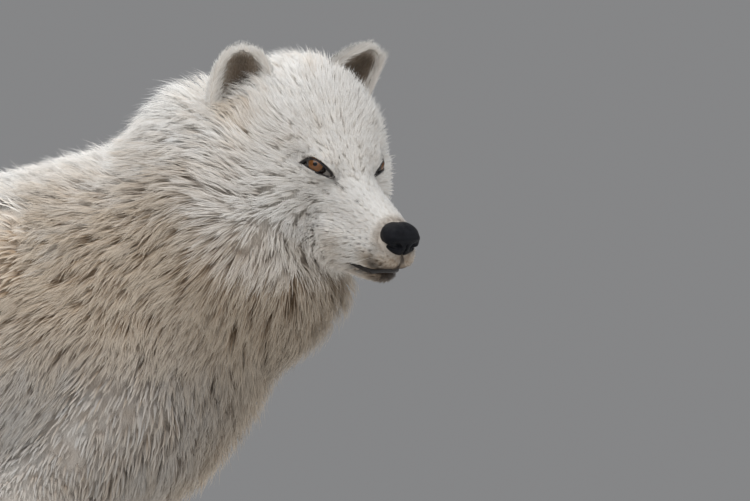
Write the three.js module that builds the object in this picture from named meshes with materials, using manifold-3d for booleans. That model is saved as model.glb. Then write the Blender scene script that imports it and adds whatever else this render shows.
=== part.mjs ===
// An arctic wolf standing with its head turned to its right, life size.
// Millimetres. +X is the way the body faces, +Y its left side, +Z up.
// The floor is Z = 0, and the origin is below the middle of the whole animal.
//
// The body is described by masses: bars and eggs that stand for bone and muscle. Each has a
// radius of flesh and a depth of coat over it. Every outer surface here is found by casting
// rays outwards from the middle of a part to where the blended masses end.

import * as THREE from 'three';
import { mergeVertices } from 'three/addons/utils/BufferGeometryUtils.js';
import Module from 'manifold-3d';

const wasm = await Module();
wasm.setup();

// ---------------------------------------------------------------- driving dimensions

// Sizes below are measured from the point on the floor under the withers, which stands here.
const WITHERS = { x: 130, y: 0 };

// The head: the place between the eyes, and how the head is turned.
const EYES_MIDDLE = [369, -62, 752];
const HEAD_TURN = 36;           // degrees to the right of the body
const HEAD_DIP = 21;            // degrees nose down
const HEAD_LEAN = 1.5;          // degrees, right side up
const EYE_RADIUS = 12.5;
const EYE_PLACE = [-1, 35, 1];
const EYE_OUTWARD = 25;         // degrees that each eye looks away from straight ahead
const LID_OPENING = [16, 12, 8];
const NOSE_PLACE = [120, 0, -37];
const NOSE_RADII = [16, 21.5, 18];
const EARS = {
  left: { root: [-98, 43, 22], tip: [-93, 86, 101], mouth: [0.8, 0.5, 0.1] },
  right: { root: [-112, -62, 16], tip: [-113, -80, 96], mouth: [0.85, -0.45, 0.1] },
};
const EAR_WIDTH = 80;
const EAR_WALL = 10;
const EAR_CUP = 25;
const EAR_ROWS = 7;
const EAR_SPOKES = 8;
const EAR_ROUNDNESS = 2.2;

// Soles, toes and claws.
const CLAW_LENGTH = 22;
const CLAW_RADIUS = 4.2;
const CLAW_BEND = 0.45;
const TOE_OUT = 7;              // degrees
const DEW_CLAW_HEIGHT = 116;
const DEW_CLAW_INSET = 22;
const DEW_CLAW_DROP = 62;       // degrees below level
const FORE_PAW = { length: 112, width: 92, height: 46 };
const HIND_PAW = { length: 104, width: 84, height: 42 };

// Cuts between the parts, and the gap that each cut leaves.
const GAP = 0.3;
const GROW = 0.5;
const NECK_BASE = { at: [112, 0, 590], facing: [0.81, -0.07, 0.59] };
const THROAT_CORNER = [-62, 0, -150];
const HEAD_BACK_SLOPE = 15;     // degrees that the cut behind the ears leans back
const MOUTH = { corner: [36, 0, -78], front: [132, 0, -65] };
const FORE_ELBOW_CUT = 372;
const HIND_KNEE_CUT = 372;
const PAW_CUT = 62;

// ---------------------------------------------------------------- frames

const DEGREE = Math.PI / 180;

const headMatrix = new THREE.Matrix4()
  .makeTranslation(...EYES_MIDDLE)
  .multiply(new THREE.Matrix4().makeRotationZ(-HEAD_TURN * DEGREE))
  .multiply(new THREE.Matrix4().makeRotationY(HEAD_DIP * DEGREE))
  .multiply(new THREE.Matrix4().makeRotationX(HEAD_LEAN * DEGREE));

// A place given as forward, left and up from between the eyes.
function headPlace(place) {
  return new THREE.Vector3(...place).applyMatrix4(headMatrix).toArray();
}

function headDirection(direction) {
  return new THREE.Vector3(...direction).transformDirection(headMatrix).toArray();
}

const BODY_AXES = [[1, 0, 0], [0, 1, 0], [0, 0, 1]];
const HEAD_AXES = BODY_AXES.map(headDirection);

// ---------------------------------------------------------------- masses

// One place along a chain: a radius of flesh, a depth of coat over it, and how wide the chain
// is there, across the body, for its height.
const knot = (at, flesh, coat, width) => ({ at, flesh, coat, width });

// A chain of knots is a bar whose radius runs evenly from knot to knot. blend is how far it
// melts into the masses listed before it.
function chain(knots, blend, across = BODY_AXES[1]) {
  return { knots, blend, across };
}

// An egg with a radius along each of three axes.
function egg(at, radii, coat, blend, axes = HEAD_AXES) {
  return { at, radii, coat, blend, axes };
}

const mirrored = ([x, y, z]) => [x, -y, z];

function headChain(knots, blend) {
  const placed = knots.map((each) => ({ ...each, at: headPlace(each.at) }));
  return chain(placed, blend, HEAD_AXES[1]);
}

function headEgg(at, radii, coat, blend) {
  return egg(headPlace(at), radii, coat, blend);
}

function headPair(at, radii, coat, blend) {
  return [headEgg(at, radii, coat, blend), headEgg(mirrored(at), radii, coat, blend)];
}

const trunkMasses = [
  chain([
    knot([20, 0, 548], 142, 38, 0.74),
    knot([-150, 0, 556], 140, 38, 0.78),
    knot([-300, 0, 576], 122, 36, 0.78),
    knot([-430, 0, 598], 100, 34, 0.82),
    knot([-520, 0, 602], 96, 38, 0.9),
  ], 60),
  chain([knot([4, 0, 640], 56, 44, 0.85), knot([-90, 0, 640], 56, 40, 0.85)], 40),
  chain([knot([60, 0, 520], 98, 44, 0.9), knot([92, 0, 508], 90, 46, 0.9)], 50),
];

// The ruff is a thick disc of coat square to the top of the neck.
const RUFF_AHEAD = [0.825, -0.2, 0.53];
const RUFF_ACROSS = [0.236, 0.972, 0];
const RUFF_UP = [-0.515, 0.125, 0.848];
const neckMasses = [
  chain([
    knot([30, 0, 578], 118, 50, 0.82),
    knot([112, 0, 606], 119, 58, 0.83),
    knot([200, -8, 658], 96, 56, 0.86),
  ], 50),
  egg([252, -18, 711], [24, 66, 97], 48, 62, [RUFF_AHEAD, RUFF_ACROSS, RUFF_UP]),
];

const headMasses = [
  headEgg([-76, 0, 14], [60, 48, 44], 23, 30),
  headEgg([-106, 0, 20], [38, 44, 38], 25, 36),
  headEgg([-30, 0, 2], [50, 30, 28], 10, 24),
  headChain([knot([2, 0, -33], 37, 4, 0.86), knot([104, 0, -46], 25, 4, 0.86)], 20),
  headChain([knot([-60, 0, -82], 22, 20, 1.25), knot([94, 0, -74], 13, 4, 1.15)], 16),
  ...headPair([-10, 25, 13], [22, 14, 12], 5, 14),
  ...headPair([-60, 38, 8], [32, 20, 28], 14, 24),
  ...headPair([-50, 39, -32], [34, 23, 28], 14, 24),
  ...headPair([-64, 40, -58], [38, 24, 34], 28, 30),
  ...headPair([-98, 46, -44], [34, 26, 46], 36, 40),
];

const axialMasses = [...trunkMasses, ...neckMasses, ...headMasses];

// A fore leg on the left or right side; step moves its foot forward.
function foreLeg(side, step) {
  const at = (x, y, z) => [x + step * Math.max(0, 1 - z / 500), side * y, z];
  const shoulder = at(124, 64, 515);
  const elbow = at(14, 80, 402);
  const foreArm = at(27, 80, 300);
  const wrist = at(38, 78, 180);
  const knuckle = at(46, 78, 70);
  const foot = at(58, 78, 40);
  return {
    foot,
    axis: [shoulder, elbow, foreArm, wrist, knuckle],
    masses: [
      chain([
        knot(at(0, 56, 640), 48, 38, 0.95),
        knot(shoulder, 47, 36, 0.92),
        knot(elbow, 37, 20, 0.88),
      ], 40),
      chain([
        knot(elbow, 34, 18, 0.85),
        knot(foreArm, 25, 11, 0.88),
        knot(wrist, 19, 6, 0.95),
        knot(knuckle, 17, 6, 1),
        knot(foot, 20, 6, 1.2),
      ], 24),
    ],
  };
}

function hindLeg(side, step) {
  const at = (x, y, z) => [x + step * Math.max(0, 1 - z / 600), side * y, z];
  const hip = at(-490, 60, 596);
  const stifle = at(-430, 84, 428);
  const hock = at(-584, 80, 216);
  const knuckle = at(-572, 80, 66);
  const foot = at(-560, 80, 38);
  return {
    foot,
    axis: [hip, stifle, hock, knuckle],
    masses: [
      chain([knot(hip, 84, 38, 0.64), knot(stifle, 52, 28, 0.66)], 40),
      chain([knot(at(-556, 54, 566), 56, 36, 0.68), knot(at(-515, 78, 410), 40, 28, 0.68)], 40),
      chain([
        knot(stifle, 46, 26, 0.78),
        knot(hock, 19, 8, 0.82),
        knot(knuckle, 16.5, 6, 0.9),
        knot(foot, 19, 6, 1.2),
      ], 30),
      chain([knot(at(-602, 80, 228), 13, 7, 0.8), knot(hock, 17, 7, 0.8)], 14),
    ],
  };
}

const TAIL = [
  knot([-575, 0, 648], 26, 30, 0.95),
  knot([-640, 0, 585], 22, 40, 0.95),
  knot([-668, 0, 480], 17, 46, 0.95),
  knot([-664, 0, 370], 12, 40, 0.95),
  knot([-648, 0, 280], 6, 22, 0.95),
];
const tailMasses = [chain(TAIL, 20)];

// ---------------------------------------------------------------- the blended surface

const dot = (a, b) => a[0] * b[0] + a[1] * b[1] + a[2] * b[2];
const minus = (a, b) => [a[0] - b[0], a[1] - b[1], a[2] - b[2]];
const along = (a, direction, length) => a.map((value, i) => value + direction[i] * length);
const length = (a) => Math.hypot(...a);
const unit = (a) => a.map((value) => value / length(a));
const cross = (a, b) => [
  a[1] * b[2] - a[2] * b[1], a[2] * b[0] - a[0] * b[2], a[0] * b[1] - a[1] * b[0],
];

function barDistance(from, to, across, place) {
  const line = minus(to.at, from.at);
  const offset = minus(place, from.at);
  const share = Math.min(1, Math.max(0, dot(offset, line) / dot(line, line)));
  const between = (name) => THREE.MathUtils.lerp(from[name], to[name], share);
  const away = along(offset, line, -share);
  const stretched = along(away, across, (1 / between('width') - 1) * dot(away, across));
  return length(stretched) - between('flesh') - between('coat');
}

function chainDistance({ knots, across }, place) {
  const distances = knots.slice(1).map((to, i) => barDistance(knots[i], to, across, place));
  return Math.min(...distances);
}

function eggDistance(mass, place) {
  const offset = minus(place, mass.at);
  const local = mass.axes.map((axis, i) => dot(offset, axis) / (mass.radii[i] + mass.coat));
  const steep = length(local.map((value, i) => value / (mass.radii[i] + mass.coat)));
  const size = length(local);
  return size < 1e-6 ? -Math.min(...mass.radii) : size * (size - 1) / steep;
}

// How far a place is outside the blended masses; negative inside.
function outside(masses, place) {
  let nearest = Infinity;
  for (const mass of masses) {
    const distance = mass.radii ? eggDistance(mass, place) : chainDistance(mass, place);
    const melt = Math.max(0, 1 - Math.abs(nearest - distance) / mass.blend);
    nearest = Math.min(nearest, distance) - (melt * melt * mass.blend) / 4;
  }
  return nearest;
}

// Where a ray from inside the masses leaves them.
function surfaceAlong(masses, from, direction, grow) {
  let reach = 0;
  let step = 0;
  do {
    reach += step;
    step = 0.6 * (grow - outside(masses, along(from, direction, reach)));
  } while (step > 0.02 && reach < 900);
  return along(from, direction, reach);
}

// ---------------------------------------------------------------- solids

function solidOf(geometry, matrix) {
  const plain = geometry.index ? geometry.clone() : geometry;
  for (const name of ['normal', 'uv']) plain.deleteAttribute(name);
  const merged = mergeVertices(plain, 1e-3);
  if (matrix) merged.applyMatrix4(matrix);
  return new wasm.Manifold(new wasm.Mesh({
    numProp: 3,
    vertProperties: Float32Array.from(merged.attributes.position.array),
    triVerts: Uint32Array.from(merged.index.array),
  }));
}

// A closed tube of rings, from a first pole to a last pole.
function ringSolid(rings, firstPole, lastPole) {
  const spokes = rings[0].length;
  const places = [...rings.flat(), firstPole, lastPole];
  const faces = [];
  rings.forEach((ring, i) => ring.forEach((_, j) => {
    const a = i * spokes + j;
    const b = i * spokes + (j + 1) % spokes;
    if (i === 0) faces.push(b, a, places.length - 2);
    if (i === rings.length - 1) faces.push(a, b, places.length - 1);
    else faces.push(a, b, b + spokes, a, b + spokes, a + spokes);
  }));
  const geometry = new THREE.BufferGeometry();
  geometry.setAttribute('position', new THREE.Float32BufferAttribute(places.flat(), 3));
  geometry.setIndex(faces);
  const made = solidOf(geometry);
  if (made.volume() > 0) return made;
  geometry.setIndex(faces.reverse());
  return solidOf(geometry);
}

// The surface of the masses round an axis. Rings stand square to the axis, and the rays of
// each end fan out to a pole, so that the ends are round.
function loft(masses, axisPlaces, { stations, spokes, cap = 3, grow = 0, upright }) {
  const curve = new THREE.CatmullRomCurve3(
    axisPlaces.map((place) => new THREE.Vector3(...place)), false, 'centripetal');
  const rings = [];
  const poles = [];
  const ring = (centre, forward, tip) => {
    const side = unit(cross(upright, forward));
    const top = cross(forward, side);
    return Array.from({ length: spokes }, (_, i) => {
      const turn = (2 * Math.PI * i) / spokes;
      const radial = side.map((s, k) => s * Math.cos(turn) + top[k] * Math.sin(turn));
      const ray = unit(radial.map((r, k) => r * Math.cos(tip) + forward[k] * Math.sin(tip)));
      return surfaceAlong(masses, centre, ray, grow);
    });
  };
  const centreAt = (share) => curve.getPointAt(share).toArray();
  const forwardAt = (share) => curve.getTangentAt(share).toArray();
  for (let i = cap; i > 0; i--) {
    rings.push(ring(centreAt(0), forwardAt(0), -(i * Math.PI) / 2 / (cap + 1)));
  }
  for (let i = 0; i < stations; i++) {
    const share = i / (stations - 1);
    rings.push(ring(centreAt(share), forwardAt(share), 0));
  }
  for (let i = 1; i <= cap; i++) {
    rings.push(ring(centreAt(1), forwardAt(1), (i * Math.PI) / 2 / (cap + 1)));
  }
  for (const [share, way] of [[0, -1], [1, 1]]) {
    poles.push(surfaceAlong(masses, centreAt(share),
      forwardAt(share).map((value) => value * way), grow));
  }
  return ringSolid(rings, poles[0], poles[1]);
}

// The piece of a solid ahead of a plane, held back from it by half a gap.
function ahead(solid, at, facing) {
  const normal = unit(facing);
  return solid.trimByPlane(normal, dot(normal, at) + GAP / 2);
}

function behind(solid, at, facing) {
  return ahead(solid, at, facing.map((value) => -value));
}

// Cutting can leave crumbs beside the piece that is wanted; only the largest is kept.
function largest(solid) {
  return solid.decompose().reduce((a, b) => (a.volume() > b.volume() ? a : b));
}

const group = new THREE.Group();
const place = new THREE.Group();
place.position.set(WITHERS.x, WITHERS.y, 0);

const COLOURS = {
  coat: { color: 0xe9e2d2, roughness: 0.95, metalness: 0 },
  nose: { color: 0x17171a, roughness: 0.45, metalness: 0 },
  eye: { color: 0x8a5a1c, roughness: 0.08, metalness: 0 },
  claw: { color: 0x2b2622, roughness: 0.5, metalness: 0 },
};
const materials = Object.fromEntries(Object.entries(COLOURS).map(([name, values]) =>
  [name, new THREE.MeshStandardMaterial({ name, ...values })]));

// A named mesh of the solid's largest piece.
function addPart(name, solid, material) {
  const mesh = largest(solid).getMesh();
  const geometry = new THREE.BufferGeometry();
  geometry.setAttribute('position', new THREE.Float32BufferAttribute(mesh.vertProperties, 3));
  geometry.setIndex([...mesh.triVerts]);
  const part = new THREE.Mesh(geometry, materials[material]);
  part.name = name;
  place.add(part);
}

// ---------------------------------------------------------------- trunk, neck and head

const UP = BODY_AXES[2];
const torsoAxis = [
  [-520, 0, 598], [-360, 0, 580], [-200, 0, 562], [-60, 0, 556], [50, 0, 566],
  [130, 0, 604], [205, -8, 664], [262, -20, 728],
];
const torsoLoft = (grow) => loft(axialMasses, torsoAxis,
  { stations: 20, spokes: 22, cap: 4, grow, upright: UP });
const headAxis = [[-112, 0, 0], [-60, 0, -10], [0, 0, -34], [106, 0, -52]].map(headPlace);
const headLoft = (grow) => loft(axialMasses, headAxis,
  { stations: 14, spokes: 20, cap: 3, grow, upright: HEAD_AXES[2] });

// A box from one corner to the other, in the frame that a matrix gives.
function boxSolid(matrix, low, high) {
  const size = high.map((value, i) => value - low[i]);
  const middle = high.map((value, i) => (value + low[i]) / 2);
  return solidOf(new THREE.BoxGeometry(...size),
    matrix.clone().multiply(new THREE.Matrix4().makeTranslation(...middle)));
}

// The head is what lies ahead of a cut behind the ears and above a cut under the jaw.
const headRoomMatrix = headMatrix.clone()
  .multiply(new THREE.Matrix4().makeTranslation(...THROAT_CORNER))
  .multiply(new THREE.Matrix4().makeRotationY(-HEAD_BACK_SLOPE * DEGREE));
const headBlock = boxSolid(headRoomMatrix, [GAP, -200, GAP], [300, 200, 400]);
const headRoom = boxSolid(headRoomMatrix, [0, -201, 0], [301, 201, 401]);

const torso = torsoLoft(0);
const trunk = behind(torso, NECK_BASE.at, NECK_BASE.facing);
const neck = ahead(torso, NECK_BASE.at, NECK_BASE.facing).subtract(headRoom);
const wholeHead = largest(headLoft(0).intersect(headBlock));

// A ball in the head's frame, stretched to three radii.
function headBall(at, radii, around = 12, down = 8) {
  const matrix = headMatrix.clone()
    .multiply(new THREE.Matrix4().makeTranslation(...at))
    .multiply(new THREE.Matrix4().makeScale(...radii));
  return solidOf(new THREE.SphereGeometry(1, around, down), matrix);
}

const grown = (radii, by) => radii.map((radius) => radius + by);

// The mouth is a cut along the line from its corner to the front of the lips.
const mouthLine = minus(MOUTH.front, MOUTH.corner);
const mouthMatrix = headMatrix.clone()
  .multiply(new THREE.Matrix4().makeTranslation(...MOUTH.corner))
  .multiply(new THREE.Matrix4().makeRotationY(-Math.atan2(mouthLine[2], mouthLine[0])));
const jawBlock = boxSolid(mouthMatrix, [GAP, -150, -150], [200, 150, -GAP]);
const jawRoom = boxSolid(mouthMatrix, [0, -151, -151], [201, 151, 0]);

const eyePlaces = [EYE_PLACE, mirrored(EYE_PLACE)];

// The opening of the lids, which lets the eye look outwards through the coat.
function lidOpening(at) {
  const outward = Math.sign(at[1]) * EYE_OUTWARD * DEGREE;
  const matrix = headMatrix.clone()
    .multiply(new THREE.Matrix4().makeTranslation(...at))
    .multiply(new THREE.Matrix4().makeRotationZ(outward))
    .multiply(new THREE.Matrix4().makeTranslation(EYE_RADIUS, 0, 0))
    .multiply(new THREE.Matrix4().makeScale(...LID_OPENING));
  return solidOf(new THREE.SphereGeometry(1, 14, 8), matrix);
}
const eyeRadii = [EYE_RADIUS, EYE_RADIUS, EYE_RADIUS];
const noseBall = headBall(NOSE_PLACE, NOSE_RADII);
const noseRoom = headBall(NOSE_PLACE, grown(NOSE_RADII, GAP));

let head = wholeHead.subtract(jawRoom).subtract(noseRoom);
for (const at of eyePlaces) {
  head = head.subtract(headBall(at, grown(eyeRadii, GAP)).add(lidOpening(at)));
}
const lowerJaw = wholeHead.intersect(jawBlock).subtract(noseRoom);

// An ear is a cupped leaf: rows from its root to its tip, a face inside and one outside.
function ear({ root: rootPlace, tip: tipPlace, mouth: mouthWay }) {
  const root = new THREE.Vector3(...rootPlace);
  const tip = new THREE.Vector3(...tipPlace);
  const rise = tip.clone().sub(root);
  const mouth = new THREE.Vector3(...mouthWay);
  mouth.addScaledVector(rise, -mouth.dot(rise) / rise.lengthSq()).normalize();
  const across = new THREE.Vector3().crossVectors(rise, mouth).normalize();
  const rows = Array.from({ length: EAR_ROWS }, (_, i) => {
    const height = Math.sin((i / EAR_ROWS) * Math.PI / 2);
    const halfWidth = (EAR_WIDTH / 2) * Math.sqrt(1 - height ** EAR_ROUNDNESS);
    const cup = EAR_CUP * (1 - 0.75 * height);
    const leaf = (turn, depth) => root.clone()
      .addScaledVector(rise, height)
      .addScaledVector(across, halfWidth * Math.cos(turn))
      .addScaledVector(mouth, depth - cup * Math.sin(turn) ** 2)
      .applyMatrix4(headMatrix).toArray();
    return Array.from({ length: 2 * EAR_SPOKES }, (_, j) => {
      const turn = (Math.PI * (j % EAR_SPOKES + 0.5)) / EAR_SPOKES;
      return j < EAR_SPOKES
        ? leaf(turn, EAR_WALL / 2)
        : leaf(Math.PI - turn, -EAR_WALL / 2 * (1 + Math.sin(turn)));
    });
  });
  return ringSolid(rows, headPlace(root.toArray()), headPlace(tip.toArray()));
}

// ---------------------------------------------------------------- legs, paws and tail

// A ball beside the foot's middle: ahead, to the left and up, stretched to three radii.
function footBall(foot, at, radii, toeOut, around, down) {
  const matrix = new THREE.Matrix4().makeTranslation(foot[0], foot[1], 0)
    .multiply(new THREE.Matrix4().makeRotationZ(toeOut))
    .multiply(new THREE.Matrix4().makeTranslation(...at))
    .multiply(new THREE.Matrix4().makeScale(...radii));
  return solidOf(new THREE.SphereGeometry(1, around, down), matrix);
}

// The middle of each toe, from the inner one to the outer one, as shares of the paw's size.
const TOES = [-1.5, -0.5, 0.5, 1.5].map((slot) => ({
  ahead: 0.36 - 0.11 * Math.abs(slot),
  left: 0.25 * slot,
  turn: 0.09 * slot,
}));

function pawBalls(foot, side, size, grow) {
  const toeOut = side * TOE_OUT * DEGREE;
  const palm = footBall(foot, [-0.12 * size.length, 0, 0.4 * size.height],
    grown([0.40 * size.length, 0.44 * size.width, 0.6 * size.height], grow), toeOut, 8, 5);
  const toes = TOES.map(({ ahead: forward, left }) => footBall(foot,
    [forward * size.length, left * size.width, 0.3 * size.height],
    grown([0.27 * size.length, 0.165 * size.width, 0.44 * size.height], grow), toeOut, 6, 4));
  return toes.reduce((paw, toe) => paw.add(toe), palm);
}

// A claw is a bent cone that leaves its toe ahead and turns down to just above the floor.
function claw(foot, side, size, { ahead: forward, left, turn }) {
  const heading = side * TOE_OUT * DEGREE + turn;
  const matrix = new THREE.Matrix4().makeTranslation(foot[0], foot[1], 0)
    .multiply(new THREE.Matrix4().makeRotationZ(side * TOE_OUT * DEGREE))
    .multiply(new THREE.Matrix4().makeTranslation(
      (forward + 0.2) * size.length, left * size.width, 0.36 * size.height))
    .multiply(new THREE.Matrix4().makeRotationZ(heading));
  return clawSolid(matrix);
}

function clawSolid(matrix) {
  const bent = (share, turn, radius) => {
    const bend = share * CLAW_BEND;
    const reach = CLAW_LENGTH * share;
    return new THREE.Vector3(
      reach * Math.cos(bend) + radius * Math.sin(turn) * Math.sin(bend),
      radius * Math.cos(turn) * 0.75,
      -reach * Math.sin(bend) + radius * Math.sin(turn) * Math.cos(bend),
    ).applyMatrix4(matrix).toArray();
  };
  const rings = [0, 0.55].map((share) => Array.from({ length: 5 }, (_, j) =>
    bent(share, (Math.PI * 2 * j) / 5, CLAW_RADIUS * (1 - 0.6 * share))));
  return ringSolid(rings, bent(0, 0, 0), bent(1, 0, 0));
}

addPart('trunk', trunk, 'coat');
addPart('neck', neck, 'coat');
addPart('head', head, 'coat');
addPart('lower_jaw', lowerJaw, 'coat');
addPart('nose', noseBall, 'nose');
['left', 'right'].forEach((name, i) =>
  addPart(`eye_${name}`, headBall(eyePlaces[i], eyeRadii), 'eye'));

const headGrown = headLoft(GROW);
const torsoGrown = torsoLoft(GROW);
for (const [name, shape] of Object.entries(EARS)) {
  addPart(`ear_${name}`, ear(shape).subtract(headGrown).subtract(torsoGrown), 'coat');
}

const level = (height) => [0, 0, height];
const legLoft = (leg, grow) => loft(leg.masses, leg.axis,
  { stations: 13, spokes: 12, cap: 1, grow, upright: BODY_AXES[1] });

function addLeg(name, leg, side, size, kneeCut) {
  const limb = ahead(legLoft(leg, 0), [0, 0, 0], [0, side, 0]).subtract(torsoGrown);
  const foot = leg.foot;
  const paw = behind(limb, level(PAW_CUT), UP)
    .add(pawBalls(foot, side, size, 0)).trimByPlane(UP, 0);
  addPart(`${name}_upper`, ahead(limb, level(kneeCut), UP), 'coat');
  addPart(`${name}_lower`, behind(ahead(limb, level(PAW_CUT), UP), level(kneeCut), UP), 'coat');
  addPart(`${name}_paw`, behind(paw, level(PAW_CUT), UP), 'coat');
  const pawGrown = pawBalls(foot, side, size, GROW);
  TOES.forEach((toe, i) => addPart(`${name}_claw_${i + 1}`,
    claw(foot, side, size, toe).subtract(pawGrown), 'claw'));
}

// A dew claw hangs on the inner side of a fore leg, above the paw.
function addDewClaw(name, leg, side) {
  const wrist = leg.axis[leg.axis.length - 1];
  const matrix = new THREE.Matrix4()
    .makeTranslation(wrist[0] + 2, wrist[1] - side * DEW_CLAW_INSET, DEW_CLAW_HEIGHT)
    .multiply(new THREE.Matrix4().makeRotationY(DEW_CLAW_DROP * DEGREE));
  addPart(name, clawSolid(matrix).subtract(legLoft(leg, GROW)), 'claw');
}

const STANCE = { foreLeft: -28, foreRight: 10, hindLeft: 45, hindRight: -20 };
for (const [name, side, step] of [['left', 1, STANCE.foreLeft], ['right', -1, STANCE.foreRight]]) {
  const leg = foreLeg(side, step);
  addLeg(`fore_leg_${name}`, leg, side, FORE_PAW, FORE_ELBOW_CUT);
  addDewClaw(`fore_leg_${name}_dew_claw`, leg, side);
}
for (const [name, side, step] of [['left', 1, STANCE.hindLeft], ['right', -1, STANCE.hindRight]]) {
  addLeg(`hind_leg_${name}`, hindLeg(side, step), side, HIND_PAW, HIND_KNEE_CUT);
}

let tail = loft(tailMasses, TAIL.map((each) => each.at),
  { stations: 10, spokes: 12, cap: 2, upright: BODY_AXES[1] }).subtract(torsoGrown);
for (const [side, step] of [[1, STANCE.hindLeft], [-1, STANCE.hindRight]]) {
  tail = tail.subtract(legLoft(hindLeg(side, step), GROW));
}
addPart('tail', tail, 'coat');

group.add(place);
export default group;
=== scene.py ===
"""An arctic wolf standing with its head turned to its right, as a life-size museum model.

Metres. +X is the way the body faces, +Y its left side, +Z up, and the floor is Z = 0.
The body is a set of masses, bars and eggs that stand for bone and muscle, each with a radius
of flesh and a depth of coat over it. The skin is the flesh; the coat reaches from the skin
out to the depth that the masses give it.
"""

import math

import bmesh
import bpy
import numpy as np
from mathutils import Matrix, Vector


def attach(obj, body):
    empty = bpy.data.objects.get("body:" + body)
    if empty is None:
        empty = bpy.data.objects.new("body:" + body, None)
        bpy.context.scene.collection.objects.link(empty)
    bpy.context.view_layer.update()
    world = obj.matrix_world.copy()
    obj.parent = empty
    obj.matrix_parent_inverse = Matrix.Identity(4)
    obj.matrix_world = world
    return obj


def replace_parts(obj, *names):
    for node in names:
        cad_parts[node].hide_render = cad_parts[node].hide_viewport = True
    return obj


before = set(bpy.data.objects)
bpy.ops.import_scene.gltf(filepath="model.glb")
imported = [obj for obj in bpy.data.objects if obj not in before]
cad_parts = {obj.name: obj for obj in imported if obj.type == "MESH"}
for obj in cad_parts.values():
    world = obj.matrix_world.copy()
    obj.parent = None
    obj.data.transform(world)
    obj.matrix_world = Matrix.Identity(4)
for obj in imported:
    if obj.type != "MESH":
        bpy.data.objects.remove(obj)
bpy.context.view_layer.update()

# ---------------------------------------------------------------- small tools


def mm(*values):
    return np.array(values, float) / 1000.0


def unit(vectors):
    vectors = np.asarray(vectors, float)
    return vectors / np.maximum(np.linalg.norm(vectors, axis=-1, keepdims=True), 1e-12)


def dots(a, b):
    return np.einsum("...i,...i->...", a, b)


def ease(low, high, value):
    share = np.clip((np.asarray(value, float) - low) / (high - low), 0.0, 1.0)
    return share * share * (3.0 - 2.0 * share)


def bump(at, spread, value):
    return np.exp(-(((np.asarray(value, float) - at) / spread) ** 2))


def rotation(axis, degrees):
    return np.array(Matrix.Rotation(math.radians(degrees), 3, axis))


def ripple(points, size, seed, waves=7):
    """Smooth wandering values between about -1 and 1, in waves of about the given size."""
    rng = np.random.default_rng(seed)
    ways = unit(rng.normal(size=(waves, 3))) * rng.uniform(0.7, 1.5, (waves, 1))
    phases = rng.uniform(0, 2 * math.pi, waves)
    return np.sin(points @ (ways.T * (2 * math.pi / size)) + phases).sum(1) / math.sqrt(waves / 2) / 1.6


# ---------------------------------------------------------------- places

WITHERS = mm(130, 0, 0)
HEAD_AT = WITHERS + mm(369, -62, 752)
HEAD_AXES = rotation("Z", -36) @ rotation("Y", 21) @ rotation("X", 1.5)
BODY_AXES = np.eye(3)


def head_place(at):
    """From millimetres ahead, left and up from between the eyes."""
    return HEAD_AT + np.asarray(at, float) @ HEAD_AXES.T / 1000.0


def in_head(points):
    return (points - HEAD_AT) @ HEAD_AXES * 1000.0


# ---------------------------------------------------------------- masses


class Chain:
    """A bar whose radius runs evenly from knot to knot: (place, flesh, coat, width)."""

    def __init__(self, knots, blend, across=BODY_AXES[1]):
        self.knots, self.blend, self.across = knots, blend / 1000, across
        reach = max((k[1] + k[2]) * max(k[3], 1) for k in knots) + self.blend + 0.03
        places = np.array([k[0] for k in knots])
        self.low, self.high = places.min(0) - reach, places.max(0) + reach

    def distance(self, points, coat):
        nearest = np.full(len(points), np.inf)
        for (p, fp, cp, wp), (q, fq, cq, wq) in zip(self.knots, self.knots[1:]):
            line = q - p
            offset = points - p
            share = np.clip(offset @ line / (line @ line), 0, 1)
            away = offset - share[:, None] * line
            width = wp + (wq - wp) * share
            side = away @ self.across
            length = np.sqrt(dots(away, away) + (1 / width**2 - 1) * side**2)
            radius = fp + (fq - fp) * share + coat * (cp + (cq - cp) * share)
            nearest = np.minimum(nearest, length - radius)
        return nearest


class Egg:
    """An egg with a radius along each of three axes, given as columns."""

    def __init__(self, at, radii, coat, blend, axes=HEAD_AXES):
        self.at, self.radii, self.coat = at, mm(*radii), coat / 1000
        self.blend, self.axes = blend / 1000, axes
        reach = self.radii.max() + self.coat + self.blend + 0.03
        self.low, self.high = at - reach, at + reach

    def distance(self, points, coat):
        local = (points - self.at) @ self.axes
        radii = self.radii + (coat * self.coat)[:, None]
        local = local / radii
        size = np.sqrt(dots(local, local))
        local = local / radii
        steep = np.sqrt(dots(local, local))
        return size * (size - 1) / np.maximum(steep, 1e-6)


LINING = 0.42


def knot(at, flesh, coat, width):
    """A knot of the body; the coat's lining, its lowest layer, counts as flesh."""
    return (WITHERS + mm(*at), (flesh + LINING * coat) / 1000, (1 - LINING) * coat / 1000, width)


def head_knot(at, flesh, coat, width):
    return (head_place(at), flesh / 1000, coat / 1000, width)


def head_egg(at, radii, coat, blend):
    return Egg(head_place(at), radii, coat, blend)


def head_pair(at, radii, coat, blend):
    return [head_egg((at[0], side * at[1], at[2]), radii, coat, blend) for side in (1, -1)]


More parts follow.
